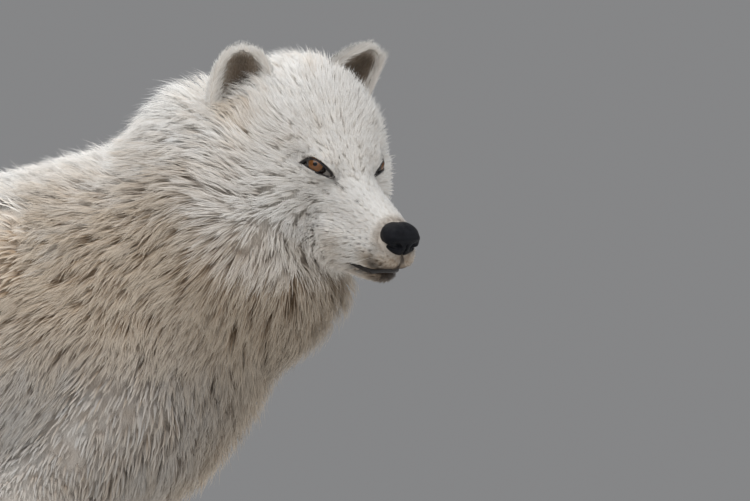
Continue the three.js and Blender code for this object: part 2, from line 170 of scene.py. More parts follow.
TRUNK = [
    Chain([knot((20, 0, 548), 142, 38, 0.74), knot((-150, 0, 556), 140, 38, 0.78),
           knot((-300, 0, 576), 122, 36, 0.78), knot((-430, 0, 598), 100, 34, 0.82),
           knot((-520, 0, 602), 96, 38, 0.9)], 60),
    Chain([knot((4, 0, 640), 56, 44, 0.85), knot((-90, 0, 640), 56, 40, 0.85)], 40),
    Chain([knot((60, 0, 520), 98, 44, 0.9), knot((92, 0, 508), 90, 46, 0.9)], 50),
]
RUFF_AXES = np.array([[0.825, -0.2, 0.53], [0.236, 0.972, 0], [-0.515, 0.125, 0.848]]).T
NECK = [
    Chain([knot((30, 0, 578), 118, 50, 0.82), knot((112, 0, 606), 119, 58, 0.83),
           knot((200, -8, 658), 96, 56, 0.86)], 50),
    Egg(WITHERS + mm(252, -18, 711), (38, 80, 111), 34, 62, RUFF_AXES),
    Egg(WITHERS + mm(188, 2, 757), (38, 56, 53), 36, 45, BODY_AXES),
]
HEAD_SIDE = HEAD_AXES[:, 1]
HEAD = [
    head_egg((-76, 0, 14), (71, 60, 56), 11, 30),
    head_egg((-106, 0, 20), (46, 52, 47), 16, 36),
    head_egg((-30, 0, 2), (53, 33, 31), 7, 24),
    Chain([head_knot((2, 0, -33), 35, 6, 0.84), head_knot((100, 0, -47), 25, 3.5, 0.86)],
          20, HEAD_SIDE),
    Chain([head_knot((-60, 0, -82), 26, 16, 1.25), head_knot((96, 0, -78), 13, 4, 1.15)],
          16, HEAD_SIDE),
    *[Chain([head_knot((34, side * 19, -60), 16, 4, 1), head_knot((110, side * 8, -58), 14, 3.5, 1)],
            9, HEAD_SIDE) for side in (1, -1)],
    *head_pair((-14, 25, 11), (22, 14, 11), 4, 12),
    *head_pair((-60, 38, 8), (37, 25, 33), 9, 24),
    *head_pair((-50, 39, -32), (38, 27, 32), 10, 24),
    *head_pair((-64, 40, -58), (51, 36, 46), 16, 30),
    *head_pair((-98, 46, -44), (42, 34, 54), 28, 40),
    *head_pair((-5, 28.5, -2), (22, 13, 17), 3, 10),
]
TOE_OUT = 7
FORE_PAW = (112, 92, 46)
HIND_PAW = (104, 84, 42)
TOES = [(0.36 - 0.11 * abs(slot), 0.25 * slot, 0.09 * slot) for slot in (-1.5, -0.5, 0.5, 1.5)]
PAW_FUR = 4


def paw(foot, side, size):
    length, width, height = size
    axes = rotation("Z", side * TOE_OUT)
    base = np.array([foot[0], foot[1], 0.0])

    def ball(at, radii, blend):
        return Egg(base + axes @ mm(*at), [radius - PAW_FUR for radius in radii], PAW_FUR, blend, axes)

    palm = ball((-0.12 * length, 0, 0.4 * height),
                (0.46 * length, 0.45 * width, 0.62 * height), 14)
    toes = [ball((ahead * length, left * width, 0.3 * height),
                 (0.27 * length, 0.19 * width, 0.46 * height), 9) for ahead, left, _ in TOES]
    return [palm, *toes]


def fore_leg(side, step):
    def at(x, y, z):
        return (x + step * max(0, 1 - z / 500), side * y, z)

    shoulder, elbow, fore_arm = at(124, 64, 515), at(14, 80, 402), at(27, 80, 300)
    wrist, knuckle, foot = at(38, 78, 180), at(46, 78, 70), at(58, 78, 40)
    return [
        Chain([knot(at(0, 56, 640), 48, 38, 0.95), knot(shoulder, 47, 36, 0.92),
               knot(elbow, 37, 20, 0.88)], 40),
        Chain([knot(elbow, 37, 17, 0.85), knot(fore_arm, 29, 12, 0.9),
               knot(wrist, 21, 8, 1.0), knot(knuckle, 20, 6, 1.05), knot(foot, 23, 4, 1.2)], 24),
        *paw(WITHERS + mm(*foot), side, FORE_PAW),
    ]


def hind_leg(side, step):
    def at(x, y, z):
        return (x + step * max(0, 1 - z / 600), side * y, z)

    hip, stifle, hock = at(-490, 60, 596), at(-430, 84, 428), at(-584, 80, 216)
    knuckle, foot = at(-572, 80, 66), at(-560, 80, 38)
    return [
        Chain([knot(hip, 84, 38, 0.64), knot(stifle, 52, 28, 0.66)], 40),
        Chain([knot(at(-556, 54, 566), 56, 36, 0.68), knot(at(-515, 78, 410), 40, 28, 0.68)], 40),
        Chain([knot(stifle, 50, 22, 0.78), knot(hock, 22, 9, 0.86),
               knot(knuckle, 19, 6.5, 0.95), knot(foot, 22, 4, 1.2)], 30),
        Chain([knot(at(-602, 80, 228), 14, 7, 0.84), knot(hock, 18, 7, 0.84)], 14),
        *paw(WITHERS + mm(*foot), side, HIND_PAW),
    ]


STANCE = {"fore_left": -28, "fore_right": 10, "hind_left": 45, "hind_right": -20}
TAIL_LINE = [((-575, 0, 648), 26, 30), ((-640, 0, 585), 22, 40), ((-668, 0, 480), 17, 46),
             ((-664, 0, 370), 12, 40), ((-648, 0, 280), 6, 22)]
GROUPS = {
    "axis": TRUNK + NECK + HEAD,
    "fore_left": fore_leg(1, STANCE["fore_left"]),
    "fore_right": fore_leg(-1, STANCE["fore_right"]),
    "hind_left": hind_leg(1, STANCE["hind_left"]),
    "hind_right": hind_leg(-1, STANCE["hind_right"]),
    "tail": [Chain([knot(at, flesh, coat, 0.95) for at, flesh, coat in TAIL_LINE], 20)],
}
GROUP_NAMES = list(GROUPS)
FAR = 0.12
JOIN = 0.022


def melt_in(nearest, distance, blend):
    melt = np.maximum(0, 1 - np.abs(nearest - distance) / blend)
    return np.minimum(nearest, distance) - melt * melt * blend / 4


def group_distance(masses, points, coat):
    nearest = np.full(len(points), FAR)
    for mass in masses:
        near = np.flatnonzero(np.all((points > mass.low) & (points < mass.high), axis=1))
        if len(near):
            nearest[near] = melt_in(nearest[near], mass.distance(points[near], coat[near]),
                                    mass.blend)
    return nearest


def outside(points, coat, each=False):
    """How far points are outside the body; coat is the share of the coat's depth counted in."""
    coat = np.broadcast_to(np.asarray(coat, float), len(points))
    groups = [group_distance(masses, points, coat) for masses in GROUPS.values()]
    if each:
        return np.array(groups)
    nearest = groups[0]
    for distance in groups[1:]:
        nearest = melt_in(nearest, distance, JOIN)
    return np.maximum(nearest, -points[:, 2])


PROBE = 0.0004
PROBES = np.array([[1, 1, 1], [1, -1, -1], [-1, 1, -1], [-1, -1, 1]]) / math.sqrt(3)


def slope(points, coat):
    values = [outside(points + PROBE * corner, coat) for corner in PROBES]
    gradient = sum(value[:, None] * corner for value, corner in zip(values, PROBES))
    return sum(values) / 4, gradient * (3 / (4 * PROBE))


def settle(points, coat, rounds=2):
    """Moves points straight in or out to where the body ends."""
    for _ in range(rounds):
        value, gradient = slope(points, coat)
        steep = np.maximum(dots(gradient, gradient), 0.2)
        points = points - (np.clip(value, -0.03, 0.03) / steep)[:, None] * gradient
    return points


# ---------------------------------------------------------------- the skin's mesh

CELL = 0.005
BLOCK = 4


def skin_net():
    """A mesh of even quads where the flesh ends."""
    low = np.array([-0.61, -0.16, -0.012])
    shape = np.array([62, 17, 47]) * BLOCK
    blocks = np.stack(np.meshgrid(*[np.arange(n // BLOCK) for n in shape], indexing="ij"), -1)
    centres = low + (blocks.reshape(-1, 3) + 0.5) * BLOCK * CELL
    coarse = outside(centres, 0.0)
    field = np.repeat(np.repeat(np.repeat(coarse.reshape(shape // BLOCK), BLOCK, 0),
                                BLOCK, 1), BLOCK, 2)
    near = np.flatnonzero(np.abs(field.ravel()) < 0.030)
    places = low + (np.stack(np.unravel_index(near, shape), -1)) * CELL
    field.ravel()[near] = outside(places, 0.0)

    corners = [(i, j, k) for i in (0, 1) for j in (0, 1) for k in (0, 1)]
    cut = shape - 1
    part = {c: field[c[0]:c[0] + cut[0], c[1]:c[1] + cut[1], c[2]:c[2] + cut[2]] for c in corners}
    inside = sum((part[c] < 0).astype(np.int8) for c in corners)
    cells = np.flatnonzero(((inside > 0) & (inside < 8)).ravel())
    spot = np.stack(np.unravel_index(cells, cut), -1).astype(float)
    total, count = np.zeros((len(cells), 3)), np.zeros(len(cells))
    for a in corners:
        for d in range(3):
            if a[d] == 0:
                b = tuple(a[i] + (i == d) for i in range(3))
                fa, fb = part[a].ravel()[cells], part[b].ravel()[cells]
                crossed = (fa < 0) != (fb < 0)
                share = np.where(crossed, fa / np.where(crossed, fa - fb, 1), 0)
                point = np.array(a) + share[:, None] * (np.array(b) - np.array(a))
                total += point * crossed[:, None]
                count += crossed
    verts = low + (spot + total / count[:, None]) * CELL
    index = np.full(cut, -1)
    index.ravel()[cells] = np.arange(len(cells))
    faces = []
    for d in range(3):
        e, f = (d + 1) % 3, (d + 2) % 3
        here = [slice(1, cut[i]) for i in range(3)]
        here[d] = slice(0, cut[d])
        ahead = list(here)
        ahead[d] = slice(1, cut[d] + 1)
        start, end = field[tuple(here)] < 0, field[tuple(ahead)] < 0
        at = np.stack(np.nonzero(start != end), -1)
        at[:, e] += 1
        at[:, f] += 1
        flip = start[start != end]
        ring = []
        for de, df in ((0, 0), (-1, 0), (-1, -1), (0, -1)):
            cell = at.copy()
            cell[:, e] += de
            cell[:, f] += df
            ring.append(index[cell[:, 0], cell[:, 1], cell[:, 2]])
        quad = np.stack(ring, -1)
        quad[~flip] = quad[~flip][:, ::-1]
        faces.append(quad)
    faces = np.concatenate(faces)
    faces = faces[(faces >= 0).all(1)]
    return verts, faces


def relaxed(verts, edges, rounds=2):
    for _ in range(rounds):
        total = np.zeros_like(verts)
        for axis in range(3):
            total[:, axis] = (np.bincount(edges[:, 0], verts[edges[:, 1], axis], len(verts))
                              + np.bincount(edges[:, 1], verts[edges[:, 0], axis], len(verts)))
        count = np.bincount(edges.ravel(), minlength=len(verts))
        verts = 0.4 * verts + 0.6 * total / np.maximum(count, 1)[:, None]
    return verts


# ---------------------------------------------------------------- eyes' places

EYE_RADIUS = 12.5
EYE_AT = np.array([-1.0, 35.0, 1.0])
GAZE = unit([0.61, 0.73, 0.31])
LID_LOW = -4.1
LID_COVER = 1.0
LID_CORNERS = (-15.5, 19.0)


NOSE_AT = (115.5, 0.0, -38.5)
NOSE_RADII = np.array([16.5, 20.5, 17.5])


def eye_frame(side):
    """The eye's middle, and as rows: along the lids to the inner corner, up, and out."""
    mirror = np.array([1, side, 1])
    out = GAZE
    along = np.array([0.655, -0.725, -0.23])
    along = unit(along - (along @ out) * out)
    up = np.cross(out, along)
    if up[2] < 0:
        up = -up
    return EYE_AT * mirror, np.array([along * mirror, up * mirror, out * mirror])


def lid_droop(x):
    """How far the outer end of the eye's opening hangs down."""
    return 2.6 * np.minimum(x, 0) ** 2


def lid_line(share):
    """The opening of the lids, once round from the inner corner: along, up."""
    turn = 2 * math.pi * np.asarray(share, float)
    middle = (LID_CORNERS[0] + LID_CORNERS[1]) / 2
    half = (LID_CORNERS[1] - LID_CORNERS[0]) / 2
    along = middle + half * np.cos(turn)
    x = np.clip((along - middle) / half, -1, 1)
    upper = 7.4 * (1 - np.abs(x) ** 1.9) ** 0.9 * (1 - 0.36 * x)
    lower = -2.9 * (1 - np.abs(x) ** 2.2) * (1 + 0.35 * x)
    return np.stack([along, LID_LOW - lid_droop(x) + np.where(np.sin(turn) >= 0, upper, lower)], -1)


def lid_share(along, up):
    """0 at the middle of the opening, 1 on its edge, more outside it."""
    middle = (LID_CORNERS[0] + LID_CORNERS[1]) / 2
    half = (LID_CORNERS[1] - LID_CORNERS[0]) / 2
    x = (along - middle) / half
    y = up + lid_droop(np.clip(x, -1, 1)) - (LID_LOW + 2.0)
    size = np.where(y > 0, 6.8 * (1 - 0.30 * np.clip(x, -1, 1)), 4.9 * (1 + 0.2 * np.clip(x, -1, 1)))
    return np.sqrt(x**2 + (y / size) ** 2)


def smooth_max(a, b, blend):
    melt = np.maximum(0, 1 - np.abs(a - b) / blend)
    return np.maximum(a, b) + melt * melt * blend / 4


def by_eye(seen, behind):
    """Whether points in an eye's own frame are beside that eye and not farther out or back."""
    return (seen[:, 2] > -behind) & (seen[:, 2] < 40)


def over_ball(x, y, z, cover):
    """Heights z raised to pass over the eye's ball, with a cover of lid over it."""
    radius = (EYE_RADIUS + cover) ** 2
    off = x**2 + y**2
    ball = np.sqrt(np.maximum(radius - off, 0.0)) - 40 * (off > radius)
    return smooth_max(z, ball, 5.0)


MOUTH_AHEAD = (30, 50, 70, 88, 105, 120, 132)
MOUTH_UP = (-79.5, -81.8, -83.5, -82.2, -78.5, -72.5, -66.5)


def mouth_height(ahead):
    """How high the mouth line runs, in the head's millimetres."""
    return np.interp(ahead, MOUTH_AHEAD, MOUTH_UP)


def sculpt(points):
    """Adds lids, lips and the furrow of the forehead to the skin of the head."""
    local = in_head(points)
    normals = unit(slope(points, 0.0)[1]) @ HEAD_AXES
    ahead, left, up = local.T
    sink = 1.6 * bump(0, 4.0, left) * ease(-70, -45, ahead) * ease(35, 10, ahead) * (up > -15)
    line = bump(mouth_height(ahead), 1.7, up) * ease(24, 40, ahead) * (np.abs(left) > 3)
    over = bump(mouth_height(ahead) + 5.0, 3.6, up) * ease(34, 60, ahead)
    pad = (bump(98, 16, ahead) * bump(-56, 9, up) * bump(18, 9, np.abs(left)))
    sink = sink + 2.6 * line - 1.2 * over - 1.8 * pad
    local = local - sink[:, None] * normals
    for side in (1, -1):
        middle, axes = eye_frame(side)
        seen = (local - middle) @ axes.T
        near = (np.abs(seen[:, 0]) < 34) & (np.abs(seen[:, 1]) < 26) & by_eye(seen, 12)
        x, y, z = seen[near].T
        lifted = over_ball(x, y, z, LID_COVER)
        share = lid_share(x, y)
        hollow = np.where(x**2 + y**2 < 140, np.sqrt(np.maximum(146 - x**2 - y**2, 0)) - 5.0, z - 2)
        seen[near, 2] = np.where(share < 1.05, np.minimum(hollow, lifted), lifted)
        local[near] = seen[near] @ axes + middle
    return head_place(local)


def head_zone(points):
    local = in_head(points)
    return (local[:, 0] > -62) & (local[:, 2] > -110) & (np.abs(local[:, 1]) < 75)


def fine_zone(points):
    local = in_head(points)
    lips = (np.abs(local[:, 2] - mouth_height(local[:, 0])) < 11) & (local[:, 0] > 22)
    zone = lips & (np.abs(local[:, 1]) < 45)
    for side in (1, -1):
        middle, axes = eye_frame(side)
        seen = (local - middle) @ axes.T
        zone |= (np.abs(seen[:, 0]) < 25) & (np.abs(seen[:, 1]) < 17) & by_eye(seen, 8)
    return zone


def refine(mesh, zone):
    """Splits every edge of the faces in a zone."""
    bm = bmesh.new()
    bm.from_mesh(mesh)
    centres = np.array([f.calc_center_median() for f in bm.faces])
    picked = zone(centres)
    edges = {e for f, use in zip(bm.faces, picked) if use for e in f.edges}
    bmesh.ops.subdivide_edges(bm, edges=list(edges), cuts=1, use_grid_fill=True)
    bm.to_mesh(mesh)
    bm.free()


def mesh_places(mesh):
    places = np.empty(len(mesh.vertices) * 3)
    mesh.vertices.foreach_get("co", places)
    return places.reshape(-1, 3)


def mesh_edges(mesh):
    edges = np.empty(len(mesh.edges) * 2, np.int32)
    mesh.edges.foreach_get("vertices", edges)
    return edges.reshape(-1, 2)


def raw_mesh(name, verts, faces):
    """A mesh from arrays; faces all have the same number of corners."""
    mesh = bpy.data.meshes.new(name)
    faces = np.asarray(faces, np.int32)
    sides = faces.shape[1]
    mesh.vertices.add(len(verts))
    mesh.vertices.foreach_set("co", np.asarray(verts, np.float32).ravel())
    mesh.loops.add(faces.size)
    mesh.loops.foreach_set("vertex_index", faces.ravel())
    mesh.polygons.add(len(faces))
    mesh.polygons.foreach_set("loop_start", np.arange(len(faces), dtype=np.int32) * sides)
    mesh.polygons.foreach_set("use_smooth", np.ones(len(faces), bool))
    mesh.update(calc_edges=True)
    return mesh


def piece(name, mesh, material):
    mesh.materials.append(material)
    made = bpy.data.objects.new(name, mesh)
    bpy.context.scene.collection.objects.link(made)
    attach(made, "root")
    return made


def note(mesh, name, kind, values):
    """Keeps a value for every corner point of a mesh, for its material to read."""
    layer = mesh.attributes.new(name, kind, "POINT")
    key = {"FLOAT": "value", "FLOAT_VECTOR": "vector", "FLOAT_COLOR": "color"}[kind]
    layer.data.foreach_set(key, np.asarray(values, np.float32).ravel())


# ---------------------------------------------------------------- ears

EARS = {
    "left": ((-98, 41, 24), (-95, 84, 102), (0.95, 0.12, 0.1)),
    "right": ((-112, -62, 16), (-113, -80, 96), (0.85, -0.45, 0.1)),
}
EAR_WIDTH = {"left": 80, "right": 72}
EAR_BOW = {"left": 7, "right": 0}
EAR_MIDDLE = {"left": 0.38 * math.pi, "right": 0.5 * math.pi}
EAR_CUP = 25
EAR_ROUNDNESS = {"left": 1.7, "right": 2.6}
EAR_ROUND_END = 0.995
EAR_SHARE = 0.90


def ear_leaf(name, height, turn, depth):
    """A place on an ear: height from 0 to 1, turn from edge to edge, depth ahead of its sheet."""
    root, tip, mouth = (np.array(v, float) for v in EARS[name])
    rise = (tip - root) * EAR_SHARE
    mouth = unit(mouth - (mouth @ rise) / (rise @ rise) * rise)
    across = unit(np.cross(rise, mouth))
    height, turn, depth = np.broadcast_arrays(height, turn, depth)
    share = np.clip(height, 0, EAR_ROUND_END)
    half = (EAR_WIDTH[name] / 2) * np.sqrt(np.maximum(1 - share ** EAR_ROUNDNESS[name], 0))
    cup = EAR_CUP * (1 - 0.75 * share)
    beside = half * np.cos(turn) - EAR_BOW[name] * np.sin(math.pi * np.clip(height, 0, 1))
    local = (root + height[..., None] * rise + beside[..., None] * across
             + (depth - cup * np.sin(turn) ** 2)[..., None] * mouth)
    return head_place(local)


def ear_inside(name, height, turn):
    """How tan the inside of an ear is, brown in the cup, and how much painted shade it has: darker in the
    cup and a black painted shadow low down in its opening.
    """
    cup = bump(EAR_MIDDLE[name], 0.25 * math.pi, turn)
    brown = cup * ease(0.98, 0.8, height)
    # slit: a painted shadow where the ear's opening goes down into the head
    slit = bump(EAR_MIDDLE[name], 0.14 * math.pi, turn) * ease(0.52, 0.30, height)
    return brown, np.maximum(0.82 * brown * ease(0.2, 0.4, height), 0.97 * slit)


EAR_NET = (26, 18)


def ear_mesh(name):
    rows, spokes = EAR_NET
    heights = np.sin(np.linspace(0, 1, rows) ** 0.9 * math.pi / 2) * EAR_ROUND_END
    turns = math.pi * (np.arange(spokes) + 0.5) / spokes
    front = ear_leaf(name, heights[:, None], turns[None], 1.6)
    back = ear_leaf(name, heights[:, None], turns[None, ::-1], -1.6)
    rings = np.concatenate([front, back], 1)
    count = 2 * spokes
    verts = np.concatenate([rings.reshape(-1, 3), rings[:1].mean(1), rings[-1:].mean(1)])
    faces = []
    for i in range(rows - 1):
        for j in range(count):
            a, b = i * count + j, i * count + (j + 1) % count
            faces.append((a, b, b + count, a + count))
    for j in range(count):
        faces.append(((j + 1) % count, j, len(verts) - 2, len(verts) - 2))
        top = (rows - 1) * count
        faces.append((top + j, top + (j + 1) % count, len(verts) - 1, len(verts) - 1))
    return verts, faces


# ---------------------------------------------------------------- coat marks and painted shade


def regions(points):
    """Which part of the body each point belongs to."""
    groups = outside(points, 0.0, each=True)
    group = groups.argmin(0)
    local = in_head(points)
    base = (points - (WITHERS + mm(112, 0, 590))) @ np.array([0.81, -0.07, 0.59])
    lean = math.radians(15)
    behind = (local[:, 0] + 62) * math.cos(lean) + (local[:, 2] + 150) * math.sin(lean)
    under = -(local[:, 0] + 62) * math.sin(lean) + (local[:, 2] + 150) * math.cos(lean)
    names = np.array(GROUP_NAMES, dtype=object)[group]
    names[(group == 0)] = "trunk"
    names[(group == 0) & (base > 0)] = "neck"
    names[(group == 0) & (behind > 0) & (under > 0)] = "head"
    return names


SPECKS = [(30.5, -4.7, 1.2), (33.2, -10.4, 1.5), (39.2, -10.9, 1.8), (25.8, -19.5, 1.7),
          (44.3, 2.9, 1.2), (23.4, -4.4, 1.2), (64, -17, 1.3), (2, 13.5, 1.0), (-9, -12, 1.1)]
DOTS = [(70 + 9.5 * i, 6.5 * j - 61 + 2.2 * (i % 2)) for i in range(5) for j in range(3)]


def markings_and_painted_light(points, normals):
    """How tan, how grey and how dark the coat is at each point, from 0 to 1: its own marks, with painted
    shade under the body, on the throat, chest and ruff, in the right cheek's fold and round the eyes, and
    painted light on tops that face up.
    """
    local = in_head(points)
    ahead, left, up = local.T
    x, y, z = (points - WITHERS).T * 1000
    head = ease(-95, -40, ahead) * ease(-135, -95, up)
    # down: surfaces that face the floor get more tan, which is painted shade
    down = -normals[:, 2]
    muzzle = ease(-125, -105, up)
    wander = ripple(points, 0.11, 11)
    small = ripple(points, 0.03, 12)
    # high: upward-facing tops of the back and neck get less tan, which is painted light
    high = ease(-0.1, 0.8, normals[:, 2]) * ease(560, 760, z)
    # front: more tan on the chest, partly the coat's own colour and partly painted shade; its dark
    # further down is painted shade
    front = ease(-40, 90, x) * (1 - high)
    # throat: more tan, partly the coat's own colour and partly painted shade under the head; its dark
    # further down is painted shade
    throat = ease(150, 280, x) * ease(760, 640, z) * ease(330, 400, z)
    body = ease(330, 450, z)
    shown = ease(-160, 60, x)
    tan = 0.20 + (0.33 * shown + 0.10 * wander + (0.10 + 0.10 * shown) * small + 0.20 * front) * body
    tan = tan + 0.85 * throat * (1 - head) + 0.20 * ease(0.1, 0.8, down) * body - 0.36 * high
    tan = tan * (1 - 0.80 * head) + 0.08 * head * bump(-5, 40, ahead) * (up > 5)
    # more tan under the rear of the jaw: partly the coat's own colour, partly painted shade
    tan = tan + 0.35 * head * ease(-52, -92, up) * ease(80, 20, ahead)
    ruff = ease(0, -60, ahead) * ease(-60, -110, up) * ease(-330, -200, up) * ease(760, 700, z)
    tan = tan + 0.50 * ruff * ease(-330, -200, ahead)
    # fold: a tan stroke along the right cheek's fold, which is painted shade
    fold = np.hypot(ahead + 62, (up + 22) * 0.6) + 6 * small
    tan = tan + 0.30 * bump(0, 26, fold) * (left < 0) * head
    tan = tan + 0.95 * ease(80, 108, ahead) * ease(-50, -64, up) * muzzle
    tan = tan + 0.60 * ease(-80, -92, up) * ease(40, 80, ahead) * muzzle
    ear_stain = bump(-96, 14, ahead) * bump(-64, 16, left) * bump(2, 22, up)
    tan = tan + 0.8 * ear_stain + 0.35 * bump(52, 16, ahead) * bump(-70, 14, up)
    grey = 0.08 + 0.20 * head + 0.06 * wander
    # grey on the low right shoulder: partly grey dirt in the coat, partly painted shade
    grey = grey + 0.75 * ease(190, 80, np.abs(x - 110)) * ease(620, 500, z) * ease(10, -60, y) * body
    grey = grey + 0.25 * bump(-40, 40, x) * bump(620, 60, z)
    dark = np.zeros(len(points))
    lips = bump(mouth_height(ahead) - 0.5, 2.6, up) * ease(58, 84, ahead) * (np.abs(left) < 40)
    dark = dark + 0.9 * lips
    dark = dark + 0.6 * bump(0, 2.2, left) * ease(112, 120, ahead) * (up < -40)
    dark = dark + 0.50 * ease(84, 112, ahead) * ease(-56, -68, up)
    dark = dark + 0.40 * bump(112, 9, ahead) * ease(-42, -56, up)
    dark = dark + 0.22 * ease(-80, -92, up) * ease(60, 96, ahead)
    off_nose = np.linalg.norm((local - NOSE_AT) / NOSE_RADII, axis=1)
    dark = dark + 0.34 * ease(1.42, 1.05, off_nose)
    tan = tan + 0.40 * ease(1.6, 1.1, off_nose)
    for side in (1, -1):
        middle, axes = eye_frame(side)
        seen = (local - middle) @ axes.T
        own = (left * side > 7) & by_eye(seen, 30)
        rim = by_eye(seen, 9) & (np.abs(seen[:, 0]) < 45)
        share = lid_share(seen[:, 0], seen[:, 1])
        dark = dark + rim * 0.8 * ease(1.24, 1.06, share)
        # a grey ring just outside each eye's black rim: painted shade on the lit lids
        grey = grey + rim * 0.45 * bump(1.55, 0.35, share)
        tear = bump(0, 1.5, (seen[:, 1] + 4.2) + 0.36 * (seen[:, 0] - 20)) * ease(
            17, 20, seen[:, 0]) * ease(38, 31, seen[:, 0])
        dark = dark + own * 0.65 * tear
        for at_x, at_y, size in SPECKS:
            dark = dark + own * 0.9 * bump(0, size, np.hypot(seen[:, 0] - at_x, seen[:, 1] - at_y))
    for at_ahead, at_up in DOTS:
        spot = np.hypot(ahead - at_ahead, up - at_up)
        dark = dark + 0.8 * bump(0, 1.25, spot) * (np.abs(left) > 9)
    dark = dark * ease(-125, -105, up) * ease(-125, -105, ahead)
    # painted shade: darker throat and chest front
    dark = dark + 0.24 * throat * (1 - head) + 0.05 * front * body * (1 - head)
    dark = dark + 0.85 * ease(7, 3, z)
    return np.clip(np.stack([tan, grey, dark], -1), 0, 1)


# ---------------------------------------------------------------- the lie of the coat

HEAD_FLOW = [
    ((112, 0, -26), (-1, 0, 0.25)), ((60, 0, -8), (-1, 0, 0.1)), ((15, 0, 14), (-1, 0, 0.45)),
    ((-40, 0, 42), (-1, 0, 0.35)), ((-95, 0, 60), (-1, 0, -0.1)),
    ((100, 20, -48), (-1, 0.25, -0.3)), ((100, -20, -48), (-1, -0.25, -0.3)),
    ((55, 28, -46), (-1, 0.2, -0.35)), ((55, -28, -46), (-1, -0.2, -0.35)),
    ((10, 38, -28), (-1, 0.2, -0.35)), ((10, -38, -28), (-1, -0.2, -0.35)),
    ((6, 30, 16), (-0.7, 0.5, 0.6)), ((6, -30, 16), (-0.7, -0.5, 0.6)),
    ((-40, 55, 8), (-1, 0.2, -0.1)), ((-40, -55, 8), (-1, -0.2, -0.1)),
    ((-50, 62, -35), (-0.9, 0.2, -0.5)), ((-50, -62, -35), (-0.9, -0.2, -0.5)),
    ((-70, 62, -75), (-0.55, 0.15, -1)), ((-70, -62, -75), (-0.55, -0.15, -1)),
    ((-100, 70, -30), (-0.9, 0.1, -0.7)), ((-100, -70, -30), (-0.9, -0.1, -0.7)),
    ((0, 20, -88), (-1, 0, -0.8)), ((0, -20, -88), (-1, 0, -0.8)),
    ((-20, 50, -102), (-0.75, 0, -1.1)), ((-20, -50, -102), (-0.75, 0, -1.1)),
    ((-60, 45, -118), (-0.6, 0, -1.2)), ((-60, -45, -118), (-0.6, 0, -1.2)),
    ((80, 0, -88), (-1, 0, -0.15)), ((-30, 0, -105), (-0.8, 0, -1.1)),
    ((-100, 30, 58), (-0.9, 0.3, 0.1)), ((-100, -30, 58), (-0.9, -0.3, 0.1)),
    ((-78, 52, 42), (-0.5, 0.35, 0.8)), ((-90, -62, 36), (-0.5, -0.3, 0.8)),
]
BODY_FLOW = [
    ((250, 0, 640), (-0.4, 0, -1)), ((280, -80, 680), (-0.7, 0, -0.9)), ((280, 60, 680), (-0.7, 0, -0.9)),
    ((215, 0, 540), (-0.05, 0, -1)), ((160, -60, 520), (-0.2, 0, -1)), ((160, 60, 520), (-0.2, 0, -1)),
    ((150, 0, 420), (-0.15, 0, -1)), ((180, -100, 620), (-0.6, 0, -0.85)),
    ((180, 90, 620), (-0.6, 0, -0.85)), ((190, -90, 720), (-0.8, 0, -0.6)),
    ((190, 80, 720), (-0.8, 0, -0.6)), ((200, -20, 790), (-1, 0, -0.3)),
    ((100, 0, 760), (-1, 0, -0.25)), ((70, -100, 640), (-0.7, 0, -0.75)),
    ((70, 100, 640), (-0.7, 0, -0.75)), ((60, -110, 520), (-0.35, 0, -1)),
    ((60, 110, 520), (-0.35, 0, -1)), ((0, 0, 740), (-1, 0, 0)),
    ((-40, -100, 620), (-0.85, 0, -0.55)), ((-40, 100, 620), (-0.85, 0, -0.55)),
    ((-60, -110, 480), (-0.7, 0, -0.7)), ((-60, 110, 480), (-0.7, 0, -0.7)),
    ((-200, 0, 730), (-1, 0, 0)), ((-200, -110, 580), (-0.9, 0, -0.45)),
    ((-200, 110, 580), (-0.9, 0, -0.45)), ((-200, 0, 400), (-1, 0, -0.1)),
    ((-380, 0, 720), (-1, 0, -0.05)), ((-380, -90, 600), (-0.85, 0, -0.55)),
    ((-380, 90, 600), (-0.85, 0, -0.55)), ((-520, 0, 700), (-1, 0, -0.5)),
    ((-480, -100, 520), (-0.5, 0, -0.9)), ((-480, 100, 520), (-0.5, 0, -0.9)),
    ((-560, -70, 480), (-0.35, 0, -1)), ((-560, 70, 480), (-0.35, 0, -1)),
    ((-420, 0, 480), (-0.8, 0, -0.7)), ((-620, 0, 640), (-0.6, 0, -0.8)),
]


def soft_mean(points, guides, spread):
    places = np.array([g[0] for g in guides])
    ways = unit(np.array([g[1] for g in guides]))
    apart = ((points[:, None] - places[None]) ** 2).sum(-1)
    weights = np.exp(-(apart - apart.min(1, keepdims=True)) / (2 * spread**2))
    return unit(weights @ ways)


def flow(points, region):
    """The way the coat lies at each point."""
    local = in_head(points)
    body = (points - WITHERS) * 1000
    way = soft_mean(body, BODY_FLOW, 75)
    head_way = soft_mean(local, HEAD_FLOW, 21) @ HEAD_AXES.T
    share = (ease(-120, -80, local[:, 0]) * ease(-130, -95, local[:, 2]))[:, None]
    way = unit(way * (1 - share) + head_way * share)
    z = body[:, 2]
    for name in GROUP_NAMES[1:]:
        here = region == name
        if name == "tail":
            line = np.array([k[0] for k in TAIL_LINE], float)
            along = unit(line[1:] - line[:-1])
            spot = np.clip(np.searchsorted(-line[:, 2], -z[here]) - 1, 0, 3)
            way[here] = along[spot]
            continue
        down = np.array([-0.12, 0, -1.0]) if name[:4] == "fore" else np.array([-0.25, 0, -1.0])
        foot = np.array([0.9, 0, -0.5])
        leg = ease(470, 400, z[here])[:, None]
        low = ease(85, 40, z[here])[:, None]
        way[here] = unit(way[here] * (1 - leg) + unit(down) * leg * (1 - low) + foot * low)
    return way


# ---------------------------------------------------------------- locks and tufts

STATIONS = np.array([0.0, 0.3, 0.65, 1.0])
UNWRAPPED = 0.003
ROUNDING = 0.22


